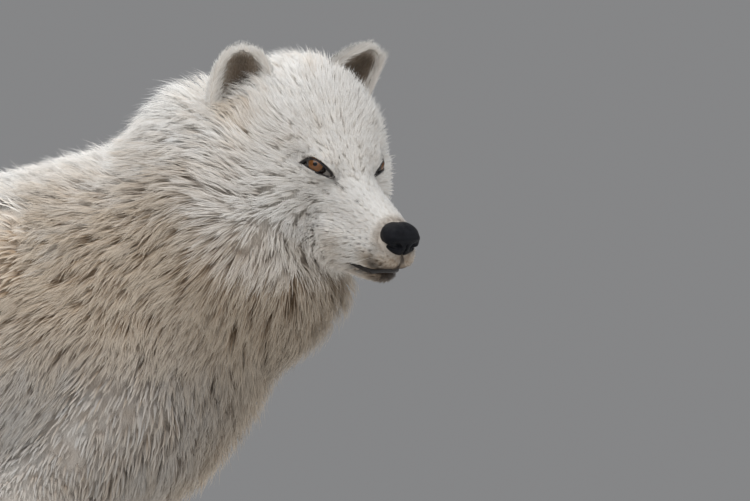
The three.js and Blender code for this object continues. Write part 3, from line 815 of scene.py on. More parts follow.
def scatter(verts, faces, density, rng):
    """Random places over triangles, and whose they are; density is how many to a square metre."""
    a, b, c = (verts[faces[:, i]] for i in range(3))
    area = np.linalg.norm(np.cross(b - a, c - a), axis=1) / 2
    expected = area * density
    count = np.floor(expected + rng.random(len(faces))).astype(int)
    owner = np.repeat(np.arange(len(faces)), count)
    u, v = rng.random((2, len(owner)))
    over = u + v > 1
    u, v = np.where(over, 1 - u, u), np.where(over, 1 - v, v)
    return a[owner] + u[:, None] * (b - a)[owner] + v[:, None] * (c - a)[owner], owner


def swung(way, normals, degrees):
    """Turns directions that lie on the surface, about its normal."""
    angle = np.radians(degrees)[:, None]
    return way * np.cos(angle) + np.cross(normals, way) * np.sin(angle)


def trace(roots, region, reach, height, lift, swing):
    """Paths that leave the skin and lie along the coat; height is the share of the coat's
    depth at which each path ends."""
    path, ups = [roots], []
    points, level = roots, np.zeros(len(roots))
    for before, after in zip(STATIONS, STATIONS[1:]):
        normals = unit(slope(points, level)[1])
        ups.append(normals)
        way = flow(points, region)
        way = unit(way - dots(way, normals)[:, None] * normals)
        way = swung(way, normals, swing * after)
        level = height * (1 - (1 - after) ** lift)
        points = points + way * (reach * (after - before))[:, None]
        points = settle(points, level, 1)
        path.append(points)
    ups.append(unit(slope(points, level)[1]))
    return np.stack(path, 1), np.stack(ups, 1)


RINGS = {1: [1], 2: [1, 2]}
GIRTH = {1: [1.0], 2: [1.0, 0.74]}
TRIANGLES = {1: 6, 2: 12}


def tuft_mesh(name, path, ups, width, flat, place, marks, chance, rings):
    """Closed three-sided spindles along paths, pointed at the root and at the tip. place is
    each root's spot on the unwrapped skin."""
    count = len(path)
    use = RINGS[rings]
    way = unit(np.gradient(path, axis=1))
    across = unit(np.cross(way, ups))
    ridge = unit(np.cross(across, way))
    girth = np.array(GIRTH[rings])[None, :, None] * width[:, None, None]
    body, side, top = path[:, use], across[:, use], ridge[:, use]
    ring = np.stack([body + side * girth / 2, body + top * girth * flat, body - side * girth / 2], 2)
    per = 3 * rings + 2
    verts = np.concatenate([path[:, :1], ring.reshape(count, -1, 3), path[:, -1:]], 1)
    last = 3 * rings - 2
    faces = [(0, 1 + j, 1 + (j + 1) % 3) for j in range(3)]
    for r in range(rings - 1):
        for j in range(3):
            a, b = 1 + 3 * r + j, 1 + 3 * r + (j + 1) % 3
            faces += [(a, b + 3, b), (a, a + 3, b + 3)]
    faces += [(last + j, per - 1, last + (j + 1) % 3) for j in range(3)]
    faces = (np.array(faces)[None] + per * np.arange(count)[:, None, None]).reshape(-1, 3)
    mesh = raw_mesh(name, verts.reshape(-1, 3), faces)

    along = np.concatenate([[0.0], np.repeat(STATIONS[use], 3), [1.0]])
    cross = np.concatenate([[0.5], np.tile([0.0, 0.5, 1.0], rings), [0.5]])
    spot = np.stack([np.broadcast_to(cross, (count, per)), np.broadcast_to(along, (count, per))], -1)
    uv = (place[:, None] + (spot - 0.5) * UNWRAPPED).reshape(-1, 2)
    layer = mesh.uv_layers.new(name="OFBake")
    layer.data.foreach_set("uv", uv[faces.ravel()].astype(np.float32).ravel())
    note(mesh, "markings_and_painted_light", "FLOAT_COLOR", np.concatenate(
        [np.repeat(marks, per, 0), np.repeat(chance, per)[:, None]], 1))
    strand = np.stack([np.broadcast_to(cross, (count, per)) * width[:, None] * 1000,
                       np.broadcast_to(along, (count, per)),
                       np.broadcast_to(chance[:, None] * 50, (count, per))], -1)
    note(mesh, "strand", "FLOAT_VECTOR", strand.reshape(-1, 3))
    swell = unit((ring - body[:, :, None]).reshape(count, -1, 3))
    swell = np.concatenate([0 * ups[:, :1], swell, 0 * ups[:, :1]], 1)
    lean = np.concatenate([ups[:, :1], np.repeat(ups[:, use], 3, 1), ups[:, -1:]], 1)
    normal = unit(lean + swell * ROUNDING)
    mesh.normals_split_custom_set_from_vertices(normal.reshape(-1, 3).astype(np.float32))
    return mesh


def unwrap(points, region):
    """Where each point lies on the skin laid flat: round the part, and along it."""
    local = in_head(points)
    body = (points - WITHERS) * 1000
    out = np.zeros((len(points), 2))
    head = region == "head"
    neck = region == "neck"
    trunk = region == "trunk"
    turn = np.arctan2(local[:, 1], local[:, 2] + 25)
    out[head] = np.stack([turn / math.tau + 0.5, (local[:, 0] + 170) / 320], -1)[head]
    neck_along = (body - (112, 0, 590)) @ unit([0.62, -0.06, 0.6])
    neck_up = (body - (112, 0, 590)) @ unit([-0.6, 0, 0.62])
    turn = np.arctan2(body[:, 1] + 8, neck_up)
    out[neck] = np.stack([turn / math.tau + 0.5, (neck_along + 90) / 460], -1)[neck]
    turn = np.arctan2(body[:, 1], body[:, 2] - 570)
    out[trunk] = np.stack([turn / math.tau + 0.5, (body[:, 0] + 660) / 900], -1)[trunk]
    for name in GROUP_NAMES[1:]:
        here = region == name
        if here.any():
            side = 0.0 if name == "tail" else (80.0 if name.endswith("left") else -80.0)
            height = body[here, 2]
            shape = np.polyfit(height, body[here, 0], 4)
            turn = np.arctan2(body[here, 1] - side, body[here, 0] - np.polyval(shape, height))
            low, high = (250, 700) if name == "tail" else (0, 720)
            band = (height - low) / (high - low)
            half = 0.0 if name.endswith("left") else 0.5
            round_share = (turn / math.tau + 0.5)
            out[here] = np.stack([round_share if name == "tail" else half + round_share / 2.04,
                                  band], -1)
    return np.clip(out, 0.004, 0.996)


# ---------------------------------------------------------------- finishes


def new_group(name, inputs, outputs):
    group = bpy.data.node_groups.new(name, "ShaderNodeTree")
    for label, kind, value in inputs:
        socket = group.interface.new_socket(label, in_out="INPUT", socket_type=kind)
        socket.default_value = value
    for label, kind in outputs:
        group.interface.new_socket(label, in_out="OUTPUT", socket_type=kind)
    nodes = group.nodes
    return group, nodes.new("NodeGroupInput"), nodes.new("NodeGroupOutput")


def wire(tree, kind, inputs=(), **settings):
    """A node with its inputs linked to sockets or set to values."""
    made = tree.nodes.new(kind)
    for key, value in settings.items():
        setattr(made, key, value)
    for key, value in dict(inputs).items():
        socket = made.inputs[key]
        if isinstance(value, bpy.types.NodeSocket):
            tree.links.new(value, socket)
        else:
            socket.default_value = value
    return made


def math_node(tree, operation, a, b=0.0, clamp=False):
    return wire(tree, "ShaderNodeMath", {0: a, 1: b}, operation=operation, use_clamp=clamp).outputs[0]


def blend_node(tree, factor, a, b, kind="MIX"):
    return wire(tree, "ShaderNodeMix", {"Factor": factor, 6: a, 7: b}, data_type="RGBA",
                blend_type=kind).outputs[2]


def range_node(tree, value, low, high, to_low=0.0, to_high=1.0):
    return wire(tree, "ShaderNodeMapRange", {"Value": value, "From Min": low, "From Max": high,
                                             "To Min": to_low, "To Max": to_high}).outputs[0]


TIP_WHITE = (0.93, 0.915, 0.885, 1)
TIP_TAN = (0.68, 0.53, 0.36, 1)
ROOT_PALE = (0.85, 0.80, 0.73, 1)
ROOT_TAN = (0.40, 0.255, 0.14, 1)
COAT_GREY = (0.46, 0.455, 0.45, 1)
COAT_DARK = (0.038, 0.027, 0.020, 1)


def coat_colour_group():
    group, given, out = new_group(
        "coat colour",
        [("Tan", "NodeSocketFloat", 0.3), ("Grey", "NodeSocketFloat", 0.1),
         ("Dark", "NodeSocketFloat", 0.0), ("Chance", "NodeSocketFloat", 0.5),
         ("Along", "NodeSocketFloat", 0.5), ("Strand", "NodeSocketFloat", 0.5)],
        [("Color", "NodeSocketColor")])
    tan, grey, dark, chance, along, strand = given.outputs[:6]
    tip = blend_node(group, math_node(group, "MULTIPLY", tan, 0.72), TIP_WHITE, TIP_TAN)
    root = blend_node(group, tan, ROOT_PALE, ROOT_TAN)
    tipped = range_node(group, along, 0.15, 0.85)
    colour = blend_node(group, tipped, root, tip)
    # greyed where the grey channel says: partly grey fur and dirt, partly painted shade
    grey_fur_and_shade = math_node(group, "MULTIPLY", grey, range_node(group, chance, 0, 1, 0.35, 1.0))
    colour = blend_node(group, grey_fur_and_shade, colour, COAT_GREY)
    tone = math_node(group, "ADD", range_node(group, chance, 0, 1, 0.86, 1.06),
                     range_node(group, strand, 0.25, 0.75, -0.12, 0.08))
    grain = wire(group, "ShaderNodeCombineColor", {0: tone, 1: tone, 2: tone}).outputs[0]
    colour = blend_node(group, 1.0, colour, grain, "MULTIPLY")
    # blackened where the dark channel says: black skin and marks, and painted shade on the throat, chest
    # and inside the ears
    colour = blend_node(group, dark, colour, COAT_DARK)
    group.links.new(colour, out.inputs[0])
    return group


def grain_group():
    """Fine uneven grain: fibres, folds, pores or wear, by its size and how far it is drawn out."""
    group, given, out = new_group(
        "fine grain",
        [("Place", "NodeSocketVector", (0, 0, 0)), ("Size", "NodeSocketFloat", 300.0),
         ("Length", "NodeSocketFloat", 1.0)],
        [("Grain", "NodeSocketFloat"), ("Worn", "NodeSocketFloat")])
    place, size, length = given.outputs[:3]
    drawn = wire(group, "ShaderNodeCombineXYZ", {0: 1.0, 1: 1.0, 2: length})
    place = wire(group, "ShaderNodeVectorMath", {0: place, 1: drawn.outputs[0]}, operation="MULTIPLY")
    noise = wire(group, "ShaderNodeTexNoise", {"Vector": place.outputs[0], "Scale": size, "Detail": 3.0})
    group.links.new(noise.outputs[0], out.inputs[0])
    group.links.new(range_node(group, noise.outputs[0], 0.35, 0.65), out.inputs[1])
    return group


def grain(tree, size, length=1.0):
    """The two outputs of the fine grain, over the surface of a piece."""
    place = wire(tree, "ShaderNodeTexCoord").outputs["Object"]
    made = wire(tree, "ShaderNodeGroup", {"Place": place, "Size": size, "Length": length},
                node_tree=GRAIN_GROUP)
    return made.outputs


def read(tree, name):
    return wire(tree, "ShaderNodeAttribute", attribute_name=name, attribute_type="GEOMETRY")


def material(name):
    made = bpy.data.materials.new(name)
    made.use_nodes = True
    tree = made.node_tree
    shader = next(n for n in tree.nodes if n.type == "BSDF_PRINCIPLED")
    return made, tree, shader


def coat_material(group):
    made, tree, shader = material("winter coat")
    marks = wire(tree, "ShaderNodeSeparateColor", {0: read(tree, "markings_and_painted_light").outputs["Color"]})
    chance = read(tree, "markings_and_painted_light").outputs["Alpha"]
    strand = read(tree, "strand").outputs["Vector"]
    stretched = wire(tree, "ShaderNodeMapping", {"Vector": strand, "Scale": (2.6, 1.6, 1.0)})
    hairs = wire(tree, "ShaderNodeTexNoise", {"Vector": stretched.outputs[0], "Scale": 1.6,
                                              "Detail": 2.0}).outputs[0]
    split = wire(tree, "ShaderNodeSeparateXYZ", {0: strand})
    colour = wire(tree, "ShaderNodeGroup", node_tree=group)
    for label, socket in (("Tan", marks.outputs[0]), ("Grey", marks.outputs[1]),
                          ("Dark", marks.outputs[2]), ("Chance", chance),
                          ("Along", split.outputs[1]), ("Strand", hairs)):
        tree.links.new(socket, colour.inputs[label])
    tree.links.new(colour.outputs[0], shader.inputs["Base Color"])
    shader.inputs["Roughness"].default_value = 0.72
    shader.inputs["Specular IOR Level"].default_value = 0.22
    shader.inputs["Sheen Weight"].default_value = 0.18
    shader.inputs["Sheen Roughness"].default_value = 0.5
    return made


def skin_material(group):
    made, tree, shader = material("skin and short fur")
    marks = wire(tree, "ShaderNodeSeparateColor", {0: read(tree, "markings_and_painted_light").outputs["Color"]})
    hairs = grain(tree, 900.0, 0.16)[0]
    patch = range_node(tree, grain(tree, 60.0)[0], 0.3, 0.7, 0.38, 0.62)
    colour = wire(tree, "ShaderNodeGroup", {"Along": 0.45}, node_tree=group)
    for label, socket in (("Tan", marks.outputs[0]), ("Grey", marks.outputs[1]),
                          ("Dark", marks.outputs[2]), ("Chance", patch), ("Strand", hairs)):
        tree.links.new(socket, colour.inputs[label])
    tree.links.new(colour.outputs[0], shader.inputs["Base Color"])
    relief = wire(tree, "ShaderNodeBump", {"Height": hairs, "Distance": 0.0012, "Strength": 0.8})
    tree.links.new(relief.outputs[0], shader.inputs["Normal"])
    shader.inputs["Roughness"].default_value = 0.85
    shader.inputs["Specular IOR Level"].default_value = 0.2
    return made


def leather_material():
    made, tree, shader = material("nose leather")
    place = wire(tree, "ShaderNodeTexCoord").outputs["Object"]
    pebbles = wire(tree, "ShaderNodeTexVoronoi", {"Vector": place, "Scale": 900.0},
                   feature="DISTANCE_TO_EDGE").outputs["Distance"]
    wear = grain(tree, 120.0)[0]
    colour = blend_node(tree, wear, (0.0022, 0.0023, 0.003, 1), (0.009, 0.010, 0.014, 1))
    tree.links.new(colour, shader.inputs["Base Color"])
    tree.links.new(range_node(tree, wear, 0.3, 0.7, 0.27, 0.38), shader.inputs["Roughness"])
    raised = range_node(tree, pebbles, 0.0, 0.25)
    relief = wire(tree, "ShaderNodeBump", {"Height": raised, "Distance": 0.0004, "Strength": 0.55})
    tree.links.new(relief.outputs[0], shader.inputs["Normal"])
    shader.inputs["Specular IOR Level"].default_value = 0.09
    return made


def lip_material():
    made, tree, shader = material("black lips and lids")
    folds = grain(tree, 420.0)[0]
    colour = blend_node(tree, folds, (0.0035, 0.003, 0.0035, 1), (0.016, 0.012, 0.012, 1))
    tree.links.new(colour, shader.inputs["Base Color"])
    tree.links.new(range_node(tree, folds, 0.3, 0.7, 0.36, 0.55), shader.inputs["Roughness"])
    relief = wire(tree, "ShaderNodeBump", {"Height": folds, "Distance": 0.0006, "Strength": 0.5})
    tree.links.new(relief.outputs[0], shader.inputs["Normal"])
    return made


IRIS = 0.66
PUPIL = 0.17


def eye_material():
    made, tree, shader = material("wet amber eye")
    split = wire(tree, "ShaderNodeSeparateXYZ", {0: read(tree, "eye_place").outputs["Vector"]})
    radius = wire(tree, "ShaderNodeVectorMath",
                  {0: wire(tree, "ShaderNodeCombineXYZ", {0: split.outputs[0], 1: split.outputs[1]})
                   .outputs[0]}, operation="LENGTH").outputs["Value"]
    turn = math_node(tree, "ARCTAN2", split.outputs[1], split.outputs[0])
    spokes = wire(tree, "ShaderNodeCombineXYZ", {0: math_node(tree, "MULTIPLY", turn, 9.0),
                                                 1: math_node(tree, "MULTIPLY", radius, 3.0)})
    streaks = wire(tree, "ShaderNodeTexNoise", {"Vector": spokes.outputs[0], "Scale": 1.7,
                                                "Detail": 3.0}).outputs[0]
    amber = blend_node(tree, streaks, (0.045, 0.014, 0.002, 1), (0.19, 0.070, 0.009, 1))
    inner = range_node(tree, radius, PUPIL + 0.02, PUPIL + 0.22)
    amber = blend_node(tree, inner, (0.13, 0.045, 0.010, 1), amber)
    rim = range_node(tree, radius, IRIS - 0.07, IRIS)
    amber = blend_node(tree, rim, amber, (0.02, 0.008, 0.003, 1))
    hole = range_node(tree, radius, PUPIL, PUPIL + 0.03)
    amber = blend_node(tree, hole, (0.002, 0.002, 0.002, 1), amber)
    white = range_node(tree, radius, IRIS, IRIS + 0.03)
    sclera = blend_node(tree, range_node(tree, radius, IRIS, 1.0), (0.004, 0.003, 0.003, 1),
                        (0.022, 0.015, 0.012, 1))
    tree.links.new(blend_node(tree, white, amber, sclera), shader.inputs["Base Color"])
    tree.links.new(range_node(tree, streaks, 0, 1, 0.14, 0.22), shader.inputs["Roughness"])
    shader.inputs["Specular IOR Level"].default_value = 0.3
    shader.inputs["Coat Weight"].default_value = 0.45
    shader.inputs["Coat Roughness"].default_value = 0.03
    return made


def horn_material():
    made, tree, shader = material("claw horn")
    along = read(tree, "along").outputs["Fac"]
    lines, worn = grain(tree, 700.0)[:2]
    colour = blend_node(tree, along, (0.030, 0.024, 0.020, 1), (0.15, 0.12, 0.095, 1))
    colour = blend_node(tree, math_node(tree, "MULTIPLY", worn, 0.6), colour,
                        (0.05, 0.042, 0.036, 1))
    tree.links.new(colour, shader.inputs["Base Color"])
    tree.links.new(range_node(tree, lines, 0.3, 0.7, 0.3, 0.5), shader.inputs["Roughness"])
    relief = wire(tree, "ShaderNodeBump", {"Height": lines, "Distance": 0.0003, "Strength": 0.4})
    tree.links.new(relief.outputs[0], shader.inputs["Normal"])
    return made


def floor_material():
    made, tree, shader = material("pale floor")
    cloud = grain(tree, 3.0)[0]
    tree.links.new(blend_node(tree, cloud, (0.60, 0.59, 0.57, 1), (0.66, 0.65, 0.63, 1)),
                   shader.inputs["Base Color"])
    shader.inputs["Roughness"].default_value = 0.7
    return made


COAT_GROUP = coat_colour_group()
GRAIN_GROUP = grain_group()
COAT = coat_material(COAT_GROUP)
SKIN = skin_material(COAT_GROUP)
LEATHER = leather_material()
LIPS = lip_material()
EYE = eye_material()
HORN = horn_material()

# ---------------------------------------------------------------- skin

verts, quads = skin_net()
skin = raw_mesh("skin", verts, quads)
verts = settle(relaxed(verts, mesh_edges(skin)), 0.0, 2)
skin.vertices.foreach_set("co", verts.astype(np.float32).ravel())
refine(skin, head_zone)
refine(skin, fine_zone)
verts = mesh_places(skin)
on_head = np.flatnonzero(head_zone(verts))
verts[on_head] = settle(verts[on_head], 0.0, 1)
verts[on_head] = sculpt(verts[on_head])
skin.vertices.foreach_set("co", verts.astype(np.float32).ravel())
skin.update()

skin.calc_loop_triangles()
skin_faces = np.empty(len(skin.loop_triangles) * 3, np.int32)
skin.loop_triangles.foreach_get("vertices", skin_faces)
skin_faces = skin_faces.reshape(-1, 3)
skin_verts = verts.copy()

# the ears are part of the same skin
bm = bmesh.new()
bm.from_mesh(skin)
for ear_name in EARS:
    ear_verts, ear_faces = ear_mesh(ear_name)
    made = [bm.verts.new(v) for v in ear_verts]
    for face in ear_faces:
        corners = list(dict.fromkeys(face))
        bm.faces.new([made[i] for i in corners]).smooth = True
bmesh.ops.recalc_face_normals(bm, faces=bm.faces)
bm.to_mesh(skin)
bm.free()
skin.polygons.foreach_set("use_smooth", np.ones(len(skin.polygons), bool))
skin.update()
places = mesh_places(skin)
normals = np.empty(len(places) * 3)
skin.vertices.foreach_get("normal", normals)
marks = markings_and_painted_light(places, normals.reshape(-1, 3))
ear_rows, ear_spokes = EAR_NET
height_share = np.repeat(np.sin(np.linspace(0, 1, ear_rows) ** 0.9 * math.pi / 2), 2 * ear_spokes)
turns = math.pi * (np.arange(ear_spokes) + 0.5) / ear_spokes
front = np.tile(np.repeat([1.0, 0.0], ear_spokes), ear_rows)
ear_marks = []
for ear_name in EARS:
    # inside the ears: tan, and painted shade in the dark channel
    inner_tan, inner_shade = ear_inside(ear_name, height_share, np.tile(np.tile(turns, 2), ear_rows))
    ear_marks += [np.stack([0.15 + front * inner_tan, np.full(len(front), 0.15), front * inner_shade], -1),
                  [[0.3, 0.2, 0.0]] * 2]
marks[len(skin_verts):] = np.concatenate(ear_marks)
note(skin, "markings_and_painted_light", "FLOAT_COLOR", np.concatenate([marks, np.ones((len(marks), 1))], 1))
skin_piece = piece("skin", skin, SKIN)
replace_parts(skin_piece, *[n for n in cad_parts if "claw" not in n
                          and n not in ("nose", "eye_left", "eye_right")])

# ---------------------------------------------------------------- eyes, lids, nose and lips


def facing_out(verts, faces):
    """The same faces, turned so that the closed shape's volume is positive."""
    faces = np.asarray(faces)
    a, b, c = verts[faces[:, 0]], verts[faces[:, 1]], verts[faces[:, 2]]
    volume = dots(a, np.cross(b, c)).sum()
    if faces.shape[1] == 4:
        volume += dots(a, np.cross(c, verts[faces[:, 3]])).sum()
    return faces if volume > 0 else faces[:, ::-1]


def tube_faces(rows, spokes, closed=False):
    """Quads of a net of rows of spokes, each row a closed ring."""
    i, j = np.meshgrid(np.arange(rows if closed else rows - 1), np.arange(spokes), indexing="ij")
    after, beside = (i + 1) % rows, (j + 1) % spokes
    return np.stack([i * spokes + j, i * spokes + beside, after * spokes + beside,
                     after * spokes + j], -1).reshape(-1, 4)


def eye_ball(name, side):
    rows, spokes = 44, 56
    middle, axes = eye_frame(side)
    tilt = np.linspace(0.008, 0.992, rows) ** 1.35 * math.pi
    turn = np.arange(spokes) * math.tau / spokes
    tilt, turn = np.meshgrid(tilt, turn, indexing="ij")
    way = np.stack([np.sin(tilt) * np.cos(turn), np.sin(tilt) * np.sin(turn), np.cos(tilt)], -1)
    radius = EYE_RADIUS + 0.75 * np.exp(-((tilt / 0.5) ** 2))
    verts = head_place((way * radius[..., None]).reshape(-1, 3) @ axes + middle)
    faces = facing_out(verts, tube_faces(rows, spokes))
    mesh = raw_mesh(name, verts, faces)
    note(mesh, "eye_place", "FLOAT_VECTOR", way)
    made = piece(name, mesh, EYE)
    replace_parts(made, name.replace("eyeball", "eye"))


LID_RINGS = [(0.90, -0.5), (0.95, 0.55), (1.0, 1.15), (1.06, 1.5), (1.14, 1.3), (1.25, 0.7),
             (1.42, -0.5), (1.40, -2.4), (1.1, -3.4), (0.94, -3.0)]


def eye_lids(name, side):
    """A black rim that follows the ball and runs into the face at both corners."""
    count = 84
    middle, axes = eye_frame(side)
    seen = (in_head(skin_verts) - middle) @ axes.T
    seen = seen[(np.abs(seen[:, 0]) < 36) & (np.abs(seen[:, 1]) < 26) & by_eye(seen, 10)
                & (lid_share(seen[:, 0], seen[:, 1]) > 1.07)]
    line = lid_line(np.arange(count) / count)
    heart = np.array([0.5, LID_LOW + 2.6])
    rings = []
    for scale, lift in LID_RINGS:
        flat = heart + (line - heart) * scale
        probe = heart + (line - heart) * max(scale, 1.12)
        nearest = ((probe[:, None] - seen[None, :, :2]) ** 2).sum(-1).argmin(1)
        skin_height = seen[nearest, 2]
        skin_height = sum(np.roll(skin_height, k) for k in (-3, -2, -1, 0, 1, 2, 3)) / 7
        off = dots(flat, flat)
        ball = np.where(off < EYE_RADIUS**2, np.sqrt(np.maximum(EYE_RADIUS**2 - off, 0)), -30)
        height = np.maximum(ball, skin_height - 1.0) if scale < 1.1 else skin_height - 0.2
        rings.append(np.concatenate([flat, (height + lift)[:, None]], 1))
    verts = head_place(np.concatenate(rings) @ axes + middle)
    faces = facing_out(verts, tube_faces(len(rings), count, closed=True))
    piece(name, raw_mesh(name, verts, faces), LIPS)


def nose_leather():
    bm = bmesh.new()
    bmesh.ops.create_icosphere(bm, subdivisions=6, radius=1.0)
    mesh = bpy.data.meshes.new("nose_leather")
    bm.to_mesh(mesh)
    bm.free()
    way = unit(mesh_places(mesh))
    power = 2.6
    squared = (np.abs(way) ** power).sum(1) ** (-1 / power)
    ahead, left, up = (way * squared[:, None]).T
    beside = np.abs(left)
    narrow = 0.74 + 0.26 * ease(-0.9, 0.25, up)
    place = np.stack([ahead * (1 - 0.10 * ease(0, -1, up)), left * narrow, up], -1)
    wing = bump(0.80, 0.20, beside) * bump(-0.20, 0.34, up) * ease(-0.3, 0.3, ahead)
    brow = bump(0.30, 0.16, up) * ease(0.45, 0.8, ahead) * 0.07
    place = place + (wing * 0.10 + brow)[:, None] * way
    hole = np.exp(-((beside - 0.52 - 0.30 * (up + 0.2)) / 0.17) ** 2
                  - ((up + 0.20) / 0.19) ** 2) * ease(0.15, 0.5, ahead)
    slit = np.exp(-((up + 0.36 - 0.30 * (beside - 0.75)) / 0.085) ** 2) * ease(0.5, 0.7, beside) * (
        ease(-0.35, 0.1, ahead))
    groove = np.exp(-(left / 0.055) ** 2) * ease(0.1, -0.15, up) * ease(0.0, 0.5, ahead)
    crown = np.exp(-(left / 0.25) ** 2) * ease(0.5, 0.9, up) * 0.05
    place = place - (0.30 * hole + 0.15 * slit + 0.12 * groove + crown)[:, None] * way
    verts = head_place(place * NOSE_RADII + NOSE_AT)
    mesh.vertices.foreach_set("co", verts.astype(np.float32).ravel())
    mesh.polygons.foreach_set("use_smooth", np.ones(len(mesh.polygons), bool))
    mesh.update()
    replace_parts(piece("nose_leather", mesh, LEATHER), "nose")


def reach_skin(starts, ways):
    """How far from places inside the head the skin is, in millimetres."""
    near, far = np.zeros(len(starts)), np.full(len(starts), 60.0)
    for _ in range(16):
        middle = (near + far) / 2
        within = outside(head_place(starts + ways * middle[:, None]), 0.0) < 0
        near, far = np.where(within, middle, near), np.where(within, far, middle)
    return near


def lips():
    """One black line of lip from corner to corner, round the front of the mouth."""
    along = np.linspace(36, 100, 26)
    turns = np.radians(np.linspace(90, 0, 14))[1:]
    starts = np.concatenate([np.stack([along, 0 * along], -1), [[100.0, 0.0]] * len(turns)])
    angle = np.concatenate([np.full(len(along), math.pi / 2), turns])
    ways = np.stack([np.cos(angle), np.sin(angle), 0 * angle], -1)
    starts = np.column_stack([starts, mouth_height(starts[:, 0] + 18 * np.cos(angle))])
    line = starts + ways * (reach_skin(starts, ways) - 0.9)[:, None]
    line = np.concatenate([line, (line * [1, -1, 1])[-2::-1]])
    girth = np.concatenate([np.interp(starts[:, 0], [36, 48, 66, 84, 100], [0.6, 1.2, 2.2, 3.0, 3.1])])
    girth = np.concatenate([girth, girth[-2::-1]])
    way = unit(np.gradient(line, axis=0))
    up = np.array([0.0, 0.0, 1.0])
    out = unit(np.cross(way, up)) * -1
    spokes = 12
    turn = np.arange(spokes) * math.tau / spokes
    rough = 1 + 0.10 * ripple(np.repeat(line, spokes, 0), 6.0, 31).reshape(-1, spokes)
    ring = (line[:, None] + (girth[:, None] * np.cos(turn) * 0.9 * rough)[..., None] * out[:, None]
            + (girth[:, None] * np.sin(turn) * 1.05 * rough)[..., None] * up)
    verts = np.concatenate([ring.reshape(-1, 3), line[:1], line[-1:]])
    body = tube_faces(len(line), spokes)
    mesh = raw_mesh("lips", head_place(verts[:-2]), facing_out(head_place(verts[:-2]), body))
    piece("lips", mesh, LIPS)


# ---------------------------------------------------------------- claws

CLAW_LENGTH, CLAW_RADIUS, CLAW_BEND = 0.022, 0.0042, 0.45


def claw_net(place, axes):
    """A claw that bends down from its root: rings of points from root to tip."""
    share, turn = np.meshgrid(np.linspace(0, 1, 12), np.arange(14) * math.tau / 14, indexing="ij")
    bend = share * CLAW_BEND
    reach = CLAW_LENGTH * share
    radius = CLAW_RADIUS * (1 - 0.94 * share**1.25)
    ridge = 1 - 0.22 * bump(-math.pi / 2, 0.5, np.where(turn > math.pi, turn - math.tau, turn))
    local = np.stack([reach * np.cos(bend) + radius * np.sin(turn) * np.sin(bend),
                      radius * np.cos(turn) * 0.75,
                      -reach * np.sin(bend) + radius * ridge * np.sin(turn) * np.cos(bend)], -1)
    return place + local.reshape(-1, 3) @ axes.T, share.ravel()


def claw_mesh(name, claws):
    verts, faces, along = [], [], []
    for place, axes in claws:
        points, share = claw_net(place, axes)
        net = facing_out(points, tube_faces(12, 14))
        faces.append(net + sum(len(v) for v in verts))
        verts.append(points)
        along.append(share)
    mesh = raw_mesh(name, np.concatenate(verts), np.concatenate(faces))
    note(mesh, "along", "FLOAT", np.concatenate(along))
    return mesh


def paw_claws(leg, side, step, size, foot_x, slope_height):
    foot = WITHERS + mm(foot_x + step * (1 - slope_height), side * (78 if leg == "fore" else 80), 0)
    base = rotation("Z", side * TOE_OUT)
    length, width, height = size
    claws = []
    for ahead, left, turn in TOES:
        at = foot + base @ mm((ahead + 0.2) * length, left * width, 0.36 * height)
        claws.append((at, base @ rotation("Z", side * TOE_OUT + math.degrees(turn))))
    label = f"{leg}_leg_{'left' if side > 0 else 'right'}"
    made = piece(f"claws_{label}", claw_mesh(f"claws_{label}", claws), HORN)
    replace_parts(made, *[f"{label}_claw_{i}" for i in (1, 2, 3, 4)])


def dew_claw(side, step):
    label = f"fore_leg_{'left' if side > 0 else 'right'}_dew_claw"
    at = WITHERS + mm(46 + step * (1 - 70 / 500) + 2, side * (78 - 22), 116)
    mesh = claw_mesh(label, [(at, rotation("Y", 62))])
    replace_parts(piece(label + "_horn", mesh, HORN), label)


for side, which in ((1, "left"), (-1, "right")):
    eye_ball(f"eyeball_{which}", side)
    eye_lids(f"lids_{which}", side)
    paw_claws("fore", side, STANCE[f"fore_{which}"], FORE_PAW, 58, 40 / 500)
    paw_claws("hind", side, STANCE[f"hind_{which}"], HIND_PAW, -560, 38 / 600)
    dew_claw(side, STANCE[f"fore_{which}"])
nose_leather()
lips()

# ---------------------------------------------------------------- the coat

rng = np.random.default_rng(5)


def coat_depth(points):
    """How deep the coat is at places on or near the skin."""
    return np.maximum(outside(points, 0.0) - outside(points, 1.0), 0.003)


DEPTHS = mm(3, 5, 10, 25, 40, 60)
TUFT_LENGTHS = mm(6.5, 9, 16, 36, 52, 72)
TUFT_WIDTHS = mm(0.66, 0.70, 0.80, 0.95, 1.05, 1.15)
LOCK_SPACING = mm(2.3, 2.6, 4.0, 6.0, 7.2, 8.5)
KINDS = {
    "under": dict(rings=1, cover=(3.0, 3.4, 3.5, 2.8, 2.8, 2.8), broad=(1, 1, 1.1, 1.9, 2.1, 2.2),
                  shortest=(0.70, 0.66, 0.60, 0.45, 0.45, 0.45), gather=0.25),
    "guard": dict(rings=2, cover=(0, 0, 0.6, 2.0, 2.2, 2.3), broad=(1, 1, 1, 1, 1, 1),
                  shortest=(0.70, 0.70, 0.70, 0.70, 0.70, 0.70), gather=1.0),
}
LEG_TUFT = 0.017
SPINDLE = 0.5
STRAYS = 0.07
LOOK_AHEAD = mm(12, 26, 40)


